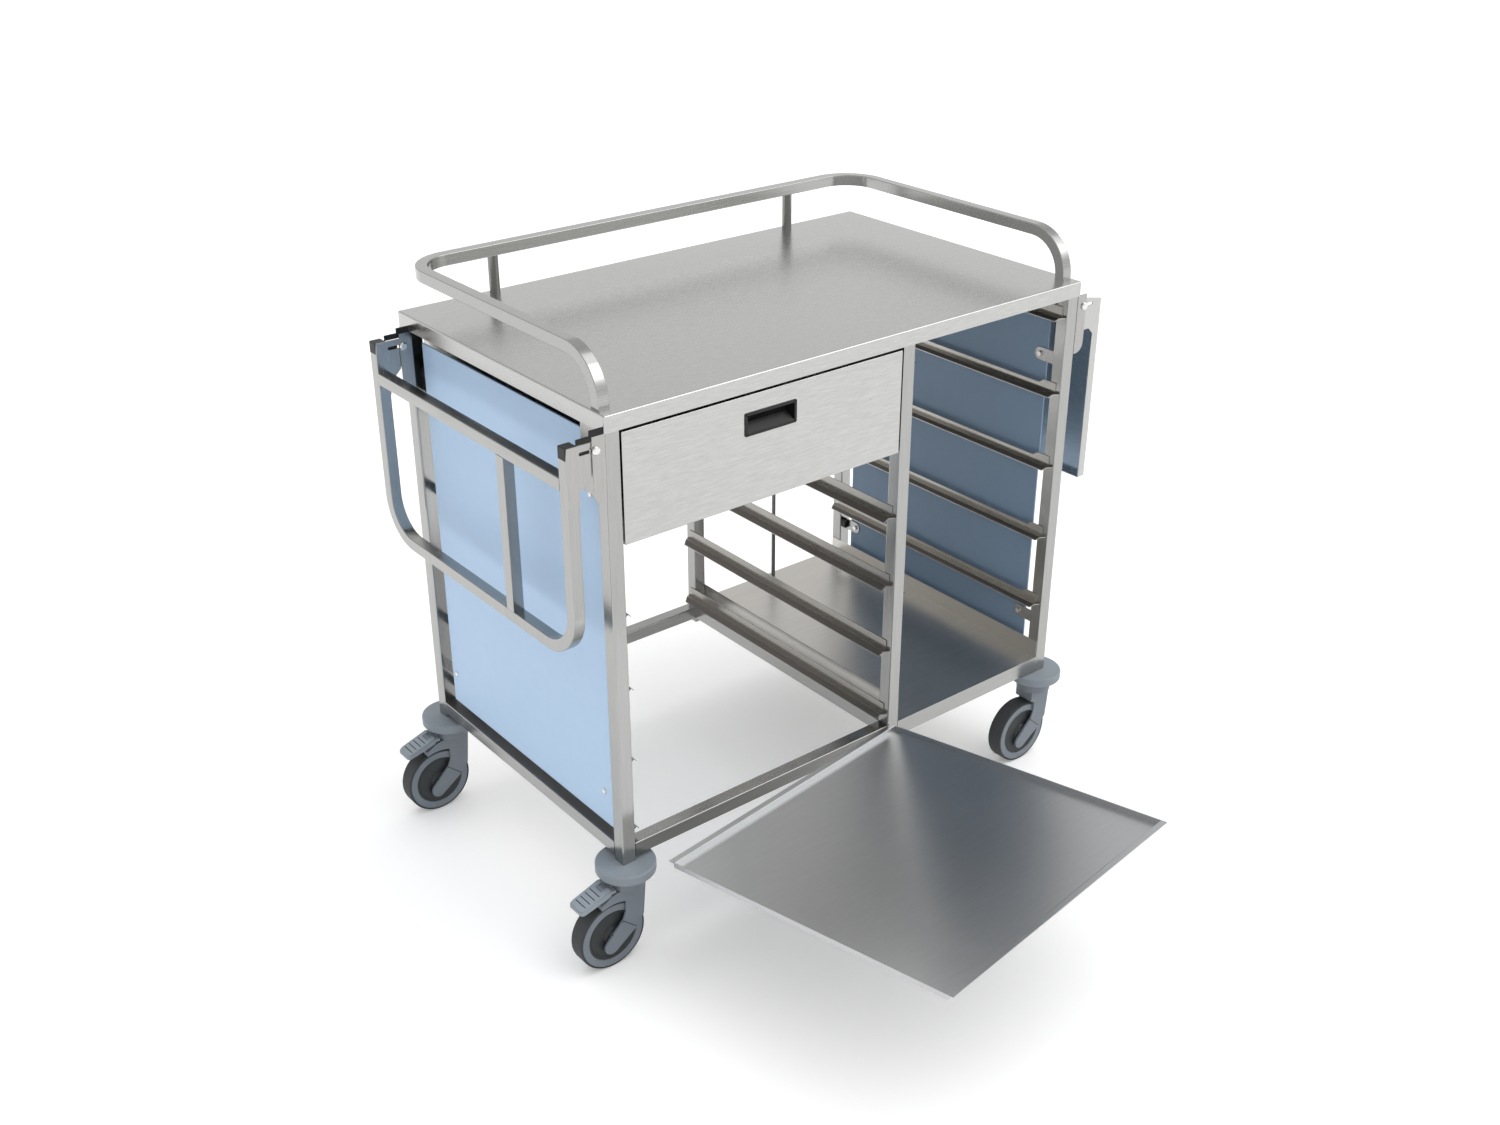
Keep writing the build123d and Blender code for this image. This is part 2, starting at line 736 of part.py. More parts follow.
# The left flap is drawn for the right end and mirrored.
outer_x = half_length + flap_reach
tube_x = (outer_x - left_flap_tube, outer_x)
leg_rows = (
    (left_leg_y[0], left_leg_y[0] + left_flap_tube),
    (left_leg_y[1] - left_flap_tube, left_leg_y[1]),
)
cap_z = (flap_head_z - cap_height, flap_head_z)
cross_z = (pivot_z - left_flap_cross_drop - left_flap_tube, pivot_z - left_flap_cross_drop)


def left_flap_frame():
    """Bent square tube: down the front leg, along the foot and up the rear leg."""
    x = sum(tube_x) / 2
    front_y = sum(leg_rows[0]) / 2
    rear_y = sum(leg_rows[1]) / 2
    foot = flap_foot_z + left_flap_tube / 2
    corners = [
        (x, front_y, cap_z[0]),
        (x, front_y, foot),
        (x, rear_y, foot),
        (x, rear_y, cap_z[0]),
    ]
    path = FilletPolyline(*corners, radius=left_flap_bend)
    return mirrored(bent_square_tube(path, corners[0], (0, 0, -1), left_flap_tube, left_flap_wall), -1)


def left_flap_crossbar():
    """Level tube from the front leg to the rear leg's hinge plate."""
    between = (leg_rows[0][1], leg_rows[1][0] - hinge_plate)
    return mirrored(square_tube(tube_x, between, cross_z, left_flap_wall, "y"), -1)


def left_flap_bar():
    """Upright tube between the crossbar and the foot of the frame."""
    middle = left_leg_y[0] + left_flap_bar_offset
    y = (middle - left_flap_tube / 2, middle + left_flap_tube / 2)
    z = (flap_foot_z + left_flap_tube, cross_z[0])
    return mirrored(square_tube(tube_x, y, z, left_flap_wall, "z"), -1)


def left_flap_caps():
    """Black end caps on the legs, each with a tongue behind its hinge plate's slot."""
    inset = left_flap_wall + cap_fit
    length, thickness, height = cap_tongue
    tongue_x = (tube_x[0] - length, tube_x[0])
    tongue_z = (pivot_z - height / 2, pivot_z + height / 2)
    caps = []
    for y in leg_rows:
        cap = block(tube_x, y, cap_z)
        plug_x = (tube_x[0] + inset, tube_x[1] - inset)
        cap += block(plug_x, (y[0] + inset, y[1] - inset), (cap_z[0] - cap_plug, cap_z[0]))
        cap += block(tongue_x, (y[0], y[0] + thickness), (max(tongue_z[0], cap_z[0]), tongue_z[1]))
        caps.append(mirrored(cap, -1))
    return group(caps)


def left_flap_hinge_plates():
    """Moving plates on the front faces of the two legs."""
    reach = outer_x - pivot_x
    drop = -left_flap_plate_drop
    inner = reach - left_flap_tube
    corners = [
        (inner - left_flap_plate_toe - left_flap_plate_cut, drop + left_flap_plate_cut),
        (inner - left_flap_plate_toe, drop),
        (inner, drop),
        (inner, drop - left_flap_plate_tail),
        (reach, drop - left_flap_plate_tail),
        (reach, flap_head_z - pivot_z - cap_height),
        (reach - left_flap_wall, flap_head_z - pivot_z),
    ]
    return group(mirrored(eye_plate(corners, (y[0] - hinge_plate, y[0])), -1) for y in leg_rows)


def right_flap_shelf():
    """Folded shelf: outer face, flanges on all sides, and hinge ears on the end flanges."""
    y = (flap_front_y, -flap_front_y)
    z = (flap_foot_z, pivot_z - right_flap_sheet_drop)
    shelf = block((outer_x - sheet, outer_x), y, z)
    flange_x = (outer_x - right_flap_flange, outer_x)
    shelf += block(flange_x, y, (z[0], z[0] + sheet))
    shelf += block(flange_x, y, (z[1] - sheet, z[1]))
    reach = outer_x - pivot_x
    strip = reach - right_flap_flange
    corners = [
        (right_flap_ear_lean, -right_flap_ear_drop),
        (strip - right_flap_ear_cut, -right_flap_ear_drop),
        (strip, -right_flap_ear_drop - right_flap_ear_cut),
        (strip, -flap_drop),
        (reach, -flap_drop),
        (reach, flap_head_z - pivot_z - right_flap_ear_slant),
    ]
    for end_y in ((y[0], y[0] + hinge_plate), (y[1] - hinge_plate, y[1])):
        shelf += eye_plate(corners, end_y)
    return shelf


def tray():
    """Loose tray: side walls, and lips turned out at the front and rear, set as the photo shows it."""
    half = tray_width / 2
    floor_z = -tray_wall
    pan = block((-half, half), (-tray_depth, 0), (floor_z, 0))
    pan -= block((sheet - half, half - sheet), (sheet - tray_depth, -sheet), (floor_z + sheet, 0))
    pan += block((-half, half), (0, tray_lip), (-sheet, 0))
    pan += block((-half, half), (-tray_depth - tray_lip, -tray_depth), (-sheet, 0))
    turn = Rot(Z=tray_yaw) * Rot(X=-tray_rise)
    corner = (turn * Pos(half, tray_lip, 0)).position
    place = Vector(mid_post_x[1] - tray_overlap, front_post_y[0] - tray_gap, foot_z + tray_height) - corner
    return Pos(*place) * turn * pan


def bumper_discs():
    """Round bumpers under the posts."""
    discs = []
    for x in (-caster_x, caster_x):
        for y in (-caster_y, caster_y):
            disc = rod((x, y, bumper_z), (x, y, foot_z), bumper_diameter)
            disc = fillet(disc.edges().filter_by(GeomType.CIRCLE), bumper_round)
            hole = rod((x, y, bumper_z), (x, y, foot_z), stem_diameter + 2 * stem_fit)
            discs.append(disc - hole)
    return group(discs)


def caster_stems():
    """Stems: a square plug in the post, a pin through bumper and crown, and a collar below."""
    plug_side = post_side - 2 * post_wall - 2 * stem_fit
    collar_z = crown_z - swivel_gap
    stems = []
    for x in (-caster_x, caster_x):
        for y in (-caster_y, caster_y):
            plug = Pos(x, y, foot_z + stem_plug / 2) * Box(plug_side, plug_side, stem_plug)
            pin = rod((x, y, collar_z), (x, y, foot_z), stem_diameter)
            collar = rod((x, y, collar_z - stem_collar_height), (x, y, collar_z), stem_collar_diameter)
            stems.append(plug + pin + collar)
    return group(stems)


# A caster is drawn with its swivel axis on the Z axis and the wheel trailing towards -X.
axle_point = (-caster_trail, wheel_radius)
leg_inner = wheel_width / 2 + fork_gap
leg_outer = leg_inner + fork_leg
crown_half = math.sqrt((crown_diameter / 2) ** 2 - leg_outer**2)
pedal_top = bumper_z - pedal_drop
pedal_pin = (
    -pedal_start - pedal_pin_inset,
    pedal_top - pedal_root / 2 - pedal_pin_inset * pedal_slope / pedal_length,
)
pedal_lug_radius = pedal_pin_diameter / 2 + pedal_lug_wall
collar_clear = stem_collar_diameter / 2 + fork_collar_room


def from_axle(place):
    """Turn a place ahead of and above the axle into X and Z."""
    return (axle_point[0] + place[0], axle_point[1] + place[1])


def fork_leg_face():
    """Outline of one leg, from the crown down past the axle to a round end."""
    seam = (from_axle(leg_seam_back), from_axle(leg_seam_front))
    heel = [from_axle(place) for place in (leg_heel_back, leg_heel_low, leg_heel_front)]
    sides = Polyline(
        heel[2],
        seam[1],
        from_axle(leg_shoulder_front),
        (crown_half, crown_z),
        (-leg_back_reach, crown_z),
        from_axle(leg_shoulder_back),
        seam[0],
        heel[0],
    )
    round_end = ThreePointArc(*heel)
    return make_face([sides, round_end]), seam


def caster_fork(with_brake):
    """Crown, two legs, their bridge and the wheel arch; a braked caster adds the pedal's lug."""
    fork = rod((0, 0, crown_z), (0, 0, crown_z + crown_height), crown_diameter)
    face, seam = fork_leg_face()
    seam_line = Line(*seam)
    groove = make_face(offset(seam_line, fork_seam_width / 2, side=Side.BOTH))
    for side in (-1, 1):
        leg = plate_xz(face, sorted((side * leg_inner, side * leg_outer)))
        leg -= plate_xz(groove, sorted((side * (leg_outer - fork_seam_depth), side * leg_outer)))
        pocket_end = side * (leg_outer - fork_skin)
        pocket = rod(
            (axle_point[0], side * leg_inner, axle_point[1]),
            (axle_point[0], pocket_end, axle_point[1]),
            axle_diameter + 2 * axle_fit,
        )
        fork += leg - pocket
    bridge_x = (collar_clear, collar_clear + fork_bridge)
    fork += block(bridge_x, (-leg_inner, leg_inner), (crown_z - crown_gap + arch_gap, crown_z))
    fork += wheel_arch(with_brake)
    if with_brake:
        fork += brake_lug()
    return fork - rod((0, 0, 0), (0, 0, bumper_z), stem_diameter + 2 * stem_fit)


def wheel_arch(with_brake):
    """Cover over the top of a wheel, hollowed to the tyre's curve, that runs on under a brake pedal."""
    brake_end = [
        (-crown_diameter / 2, crown_z),
        (-pedal_start, crown_z - arch_shoulder),
        (-arch_reach, crown_z - arch_fall),
        (-arch_reach, wheel_radius),
    ]
    plain_end = [(-crown_half, crown_z), (-crown_half, wheel_radius)]
    root = [(-collar_clear, wheel_radius), (-collar_clear, crown_z)]
    outline = polygon(*root, *(brake_end if with_brake else plain_end))
    cover = plate_xz(outline, (-leg_outer, leg_outer))
    tyre_space = rod(
        (axle_point[0], -leg_outer, axle_point[1]),
        (axle_point[0], leg_outer, axle_point[1]),
        wheel_diameter + 2 * arch_gap,
    )
    return cover - tyre_space


def brake_lug():
    """Lug on the crown that carries the pedal's pin."""
    x, z = pedal_pin
    half = pedal_lug_width / 2
    ends = ((x, -half, z), (x, half, z))
    root_z = (z - pedal_lug_radius, z + pedal_lug_radius)
    lug = rod(*ends, 2 * pedal_lug_radius) + block((x, -stem_diameter), (-half, half), root_z)
    return lug - rod(*ends, pedal_pin_diameter + 2 * pin_fit)


def pedal_layer(drop, inset):
    """Sloping wedge of the pedal, a drop below its upper face, drawn in at the sides and tip."""
    end_x = -pedal_start - pedal_length + inset
    fall = pedal_slope * (pedal_length - inset) / pedal_length
    half = pedal_width / 2 - inset
    wedge = plate_xz(
        polygon(
            (-pedal_start, pedal_top - drop),
            (end_x, pedal_top - drop - fall),
            (end_x, pedal_top - pedal_slope - pedal_tip),
            (-pedal_start, pedal_top - pedal_root),
        ),
        (-half, half),
    )
    return fillet(wedge.edges().filter_by(Axis.Z).sort_by(Axis.X)[:2], pedal_tip)


def brake_pedal():
    """Ribbed pedal with its pin moulded across a notch for the lug."""
    half = pedal_width / 2
    pedal = pedal_layer(pedal_plate_height, 0)
    pedal += pedal_layer(0, pedal_plate_inset)
    neck_x = (-pedal_start, pedal_neck - pedal_start)
    pedal += block(neck_x, (-half, half), (pedal_pin[1], pedal_top - pedal_plate_height))
    notch = pedal_lug_width / 2 + pedal_lug_gap
    notch_x = (pedal_pin[0] - pedal_lug_radius - 2 * pedal_lug_gap, 0)
    pedal -= block(notch_x, (-notch, notch), (crown_z - crown_height, bumper_z))
    pin_ends = [(pedal_pin[0], end_y, pedal_pin[1]) for end_y in (-half, half)]
    pedal += rod(*pin_ends, pedal_pin_diameter)
    fall = math.degrees(math.atan2(pedal_slope, pedal_length))
    for step in range(pedal_groove_count):
        x = notch_x[0] - pedal_groove_start - pedal_groove_pitch * step
        top = pedal_top - (-x - pedal_start) * pedal_slope / pedal_length
        groove = Box(pedal_groove_width, pedal_groove_length, 2 * pedal_groove_depth)
        pedal -= Pos(x, 0, top) * Rot(Y=-fall) * groove
    return pedal


def caster_axle():
    """Axle between the two fork legs, its ends hidden in their pockets."""
    end = leg_outer - fork_skin
    x, z = axle_point
    return rod((x, -end, z), (x, end, z), axle_diameter)


def wheel_tyre():
    """Grey tyre ring with a rounded tread."""
    x, z = axle_point
    half = wheel_width / 2
    tyre = rod((x, -half, z), (x, half, z), wheel_diameter)
    tyre = fillet(tyre.edges().filter_by(GeomType.CIRCLE), tyre_round)
    return tyre - rod((x, -half, z), (x, half, z), wheel_diameter - 2 * tyre_depth)


def wheel_hub():
    """Dark disc inside the tyre with a boss on the axle."""
    x, z = axle_point
    half = wheel_width / 2
    face = half - hub_recess
    hub = rod((x, -face, z), (x, face, z), wheel_diameter - 2 * tyre_depth - 2 * tyre_fit)
    hub += rod((x, -half, z), (x, half, z), hub_boss_diameter)
    return hub - rod((x, -half, z), (x, half, z), axle_diameter + 2 * axle_fit)


def casters():
    """All four casters, each piece in a node of its own."""
    nodes = {}
    for end, x in (("left", -caster_x), ("right", caster_x)):
        for row, y in (("front", -caster_y), ("rear", caster_y)):
            name = f"{row}_{end}"
            place = Pos(x, y, 0)
            braked = end == "left"
            nodes[f"{name}_caster_fork"] = place * caster_fork(braked)
            nodes[f"{name}_caster_axle"] = place * caster_axle()
            nodes[f"{name}_wheel_tyre"] = place * wheel_tyre()
            nodes[f"{name}_wheel_hub"] = place * wheel_hub()
            if braked:
                nodes[f"{name}_brake_pedal"] = place * brake_pedal()
    return nodes


def all_nodes():
    """Every node of the trolley, by name."""
    nodes = {
        "worktop": worktop(),
        "top_rails": top_rails(),
        "bottom_shelf": bottom_shelf(),
        "gallery_rail": gallery_rail(),
        "gallery_posts": gallery_posts(),
        "left_side_panel": side_panel(-1),
        "right_side_panel": side_panel(1),
        "panel_tabs": panel_tabs(),
        "panel_screws": panel_screws(),
        "panel_clip": panel_clip(),
        "stop_rod": stop_rod(),
        "drawer_front": drawer_front(),
        "drawer_box": drawer_box(),
        "drawer_handle": drawer_handle(),
        "drawer_outer_slides": drawer_outer_slides(),
        "drawer_inner_slides": drawer_inner_slides(),
        "hinge_brackets": hinge_brackets(),
        "hinge_pins": hinge_pins(),
        "hinge_buffers": hinge_buffers(),
        "left_flap_frame": left_flap_frame(),
        "left_flap_crossbar": left_flap_crossbar(),
        "left_flap_bar": left_flap_bar(),
        "left_flap_caps": left_flap_caps(),
        "left_flap_hinge_plates": left_flap_hinge_plates(),
        "right_flap_shelf": right_flap_shelf(),
        "tray": tray(),
        "bumper_discs": bumper_discs(),
        "caster_stems": caster_stems(),
    }
    return nodes | posts() | bottom_rails() | bay_runners() | casters()


os.makedirs("parts", exist_ok=True)
for node_name, shape in all_nodes().items():
    export_step(shape, f"parts/{node_name}.step")
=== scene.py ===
"""Looks of a food distribution trolley in brushed stainless steel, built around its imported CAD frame."""

from __future__ import annotations

import logging
import math
from collections.abc import Callable
from dataclasses import dataclass, replace
from enum import Enum
from functools import partial

import bmesh
import bpy
from bmesh.types import BMEdge, BMesh, BMFace, BMVert
from bpy.types import Material, Node, NodeSocket, NodeTree, Object
from mathutils import Matrix, Vector

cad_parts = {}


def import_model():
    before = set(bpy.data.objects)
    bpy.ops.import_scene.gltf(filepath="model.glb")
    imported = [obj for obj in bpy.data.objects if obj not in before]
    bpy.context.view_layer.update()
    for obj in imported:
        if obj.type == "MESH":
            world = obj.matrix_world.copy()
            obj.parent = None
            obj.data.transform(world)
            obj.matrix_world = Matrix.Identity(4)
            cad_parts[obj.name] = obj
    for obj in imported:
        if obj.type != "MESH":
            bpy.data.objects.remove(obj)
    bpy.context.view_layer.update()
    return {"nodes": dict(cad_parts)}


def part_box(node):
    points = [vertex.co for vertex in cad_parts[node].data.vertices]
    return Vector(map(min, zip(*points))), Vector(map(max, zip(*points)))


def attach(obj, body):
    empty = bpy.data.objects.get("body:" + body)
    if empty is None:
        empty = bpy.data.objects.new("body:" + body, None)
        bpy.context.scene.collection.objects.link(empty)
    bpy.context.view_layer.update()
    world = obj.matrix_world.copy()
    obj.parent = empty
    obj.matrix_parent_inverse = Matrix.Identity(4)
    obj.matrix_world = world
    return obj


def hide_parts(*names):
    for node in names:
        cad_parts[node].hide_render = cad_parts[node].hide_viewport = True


LOG = logging.getLogger("trolley")
MM = 0.001
CASTERS = ("front_left", "rear_left", "front_right", "rear_right")
BRAKED = ("front_left", "rear_left")
POST_ROW = ("left", "mid", "right")

LEFT = Vector((-1, 0, 0))
FRONT = Vector((0, -1, 0))
REAR = Vector((0, 1, 0))
UP = Vector((0, 0, 1))
DOWN = Vector((0, 0, -1))

# Edges that turn by more than SHARP stay crisp, and faces that turn by less than FLAT are joined.
SHARP = math.radians(28)
FLAT = math.radians(0.4)
# Points nearer than this are one point.
WELD = 0.01 * MM
# A face's normal along a direction is over FLUSH if it faces it squarely, over LOOKING if it looks that
# way, and under BESIDE if it stands beside it or looks back.
FLUSH = 0.99
LOOKING = 0.9
BESIDE = 0.3
# The least width of a fold's faces and length of its edge, in fold radii.
FOLD_WIDTH = 1.8
FOLD_LENGTH = 3.0
# The round of a cut edge, in millimetres.
CUT_EDGE = 0.3
# The weight of large faces in the shading, where 50 is neutral.
LARGE_FACE_WEIGHT = 90
# Where most values of a noise texture lie.
NOISE_SPAN = (0.3, 0.7)

FaceTest = Callable[[BMFace], bool]
Outline = list[tuple[float, float]]


@dataclass(frozen=True)
class Steps:
    """Steps across each kind of round."""

    rim: int = 2
    lip: int = 3
    fold: int = 4
    shoulder: int = 4
    bend: int = 14
    disc: int = 64
    tread: int = 72


STEPS = Steps()


class Slot(Enum):
    """The record's material slots."""

    SHEET = "stainless_sheet"
    TUBE = "stainless_tube"
    FOLDED = "folded_steel"
    TRAY = "tray_steel"
    BRIGHT = "bright_steel"
    BLUE = "blue_panel"
    BLACK = "black_plastic"
    CASTER = "caster_plastic"
    TYRE = "tyre_grey"
    HUB = "hub_plastic"


class Grain(Enum):
    """The axis that brushed lines run along."""

    X = (1, 0, 0)
    Y = (0, 1, 0)
    Z = (0, 0, 1)


def linear(code: str) -> tuple[float, float, float, float]:
    """Turn an sRGB hex colour into linear values by the curve of the sRGB standard.

    Args:
        code: Six hex digits after a hash.

    Returns:
        Red, green and blue, and an alpha of one.
    """
    values = [int(code[place:place + 2], 16) / 255 for place in (1, 3, 5)]
    channels = [v / 12.92 if v <= 0.04045 else ((v + 0.055) / 1.055) ** 2.4 for v in values]
    return (channels[0], channels[1], channels[2], 1.0)


def add_node(
    tree: NodeTree, kind: str, settings: dict[str, object] | None = None,
    inputs: dict[str | int, object] | None = None,
) -> Node:
    """Add a node with its settings, values and links.

    Args:
        tree: The node tree that gets the node.
        kind: The node's type name.
        settings: Properties to set on the node.
        inputs: Values for its input sockets, or output sockets to link to them.

    Returns:
        The new node.
    """
    node = tree.nodes.new(kind)
    for name, value in (settings or {}).items():
        setattr(node, name, value)
    for key, value in (inputs or {}).items():
        if isinstance(value, NodeSocket):
            tree.links.new(value, node.inputs[key])
        else:
            node.inputs[key].default_value = value
    return node


def empty_material(name: str) -> tuple[Material, NodeTree]:
    """Make a material with nothing in its node tree.

    Args:
        name: The material's name.

    Returns:
        The material and its tree.
    """
    material = bpy.data.materials.new(name)
    material.use_nodes = True
    material.node_tree.nodes.clear()
    return material, material.node_tree


@dataclass(frozen=True)
class BrushedSteel:
    """Stainless steel sheet or tube with ground lines: streaked gloss and soft wide reflections.

    Sizes are in millimetres. Real lines are near 0.1 mm apart. They are drawn one to three millimetres
    wide so that they show.
    """

    name: str
    light: str = "#C3C3C1"
    dark: str = "#B1B1AF"
    grain: Grain = Grain.X
    line_width: float = 1.9
    line_length: float = 26.0
    roughness: tuple[float, float] = (0.21, 0.3)
    cloud_size: float = 260.0
    relief: float = 0.05
    line_detail: float = 5.0
    line_raggedness: float = 0.65
    line_depth: float = 0.4
    cloud_detail: float = 2.0
    cloud_share: float = 0.35
    gloss_span: tuple[float, float] = (0.4, 0.95)

    def material(self) -> Material:
        """Build the finish as nodes on Object coordinates.

        Returns:
            The new material.
        """
        material, tree = empty_material(self.name)
        place = add_node(tree, "ShaderNodeTexCoord").outputs["Object"]
        across = 1 / (self.line_width * MM)
        along = 1 / (self.line_length * MM)
        scale = [along if axis else across for axis in self.grain.value]
        stretched = add_node(tree, "ShaderNodeMapping", inputs={"Vector": place, "Scale": scale})
        lines = add_node(tree, "ShaderNodeTexNoise", inputs={
            "Vector": stretched.outputs["Vector"], "Scale": 1.0, "Detail": self.line_detail,
            "Roughness": self.line_raggedness})
        clouds = add_node(tree, "ShaderNodeTexNoise", inputs={
            "Vector": place, "Scale": 1 / (self.cloud_size * MM), "Detail": self.cloud_detail})
        both = add_node(tree, "ShaderNodeMath", {"operation": "MULTIPLY_ADD"}, {
            0: clouds.outputs["Fac"], 1: self.cloud_share, 2: lines.outputs["Fac"]})
        streaks = add_node(tree, "ShaderNodeMapRange", inputs={
            "Value": lines.outputs["Fac"], "From Min": NOISE_SPAN[0], "From Max": NOISE_SPAN[1]})
        colour = add_node(tree, "ShaderNodeMix", {"data_type": "RGBA"}, {
            "Factor": streaks.outputs["Result"], "A": linear(self.dark), "B": linear(self.light)})
        gloss = add_node(tree, "ShaderNodeMapRange", inputs={
            "Value": both.outputs["Value"], "From Min": self.gloss_span[0], "From Max": self.gloss_span[1],
            "To Min": self.roughness[0], "To Max": self.roughness[1]})
        bump = add_node(tree, "ShaderNodeBump", inputs={
            "Height": lines.outputs["Fac"], "Strength": self.relief, "Distance": self.line_depth * MM})
        shader = add_node(tree, "ShaderNodeBsdfPrincipled", inputs={
            "Base Color": colour.outputs["Result"], "Metallic": 1.0,
            "Roughness": gloss.outputs["Result"], "Normal": bump.outputs["Normal"]})
        add_node(tree, "ShaderNodeOutputMaterial", inputs={"Surface": shader.outputs["BSDF"]})
        return material


@dataclass(frozen=True)
class Moulded:
    """Moulded or pressed plastic and rubber: an even colour with faint mottling and a fine grit.

    Sizes are in millimetres. The grit is drawn about ten times as coarse as a real one so that it shows.
    """

    name: str
    colour: str
    mottle: str
    roughness: tuple[float, float]
    grit: float = 1.6
    mottle_size: float = 24.0
    relief: float = 0.12
    specular: float = 0.5
    grit_detail: float = 3.0
    grit_depth: float = 0.2
    mottle_detail: float = 4.0

    def material(self) -> Material:
        """Build the finish as nodes on Object coordinates.

        Returns:
            The new material.
        """
        material, tree = empty_material(self.name)
        place = add_node(tree, "ShaderNodeTexCoord").outputs["Object"]
        grit = add_node(tree, "ShaderNodeTexNoise", inputs={
            "Vector": place, "Scale": 1 / (self.grit * MM), "Detail": self.grit_detail})
        mottling = add_node(tree, "ShaderNodeTexNoise", inputs={
            "Vector": place, "Scale": 1 / (self.mottle_size * MM), "Detail": self.mottle_detail})
        colour = add_node(tree, "ShaderNodeMix", {"data_type": "RGBA"}, {
            "Factor": mottling.outputs["Fac"], "A": linear(self.colour), "B": linear(self.mottle)})
        gloss = add_node(tree, "ShaderNodeMapRange", inputs={
            "Value": grit.outputs["Fac"], "From Min": NOISE_SPAN[0], "From Max": NOISE_SPAN[1],
            "To Min": self.roughness[0], "To Max": self.roughness[1]})
        bump = add_node(tree, "ShaderNodeBump", inputs={
            "Height": grit.outputs["Fac"], "Strength": self.relief, "Distance": self.grit_depth * MM})
        shader = add_node(tree, "ShaderNodeBsdfPrincipled", inputs={
            "Base Color": colour.outputs["Result"], "Roughness": gloss.outputs["Result"],
            "Specular IOR Level": self.specular, "Normal": bump.outputs["Normal"]})
        add_node(tree, "ShaderNodeOutputMaterial", inputs={"Surface": shader.outputs["BSDF"]})
        return material


Finish = BrushedSteel | Moulded
Patch = tuple[Finish, FaceTest]


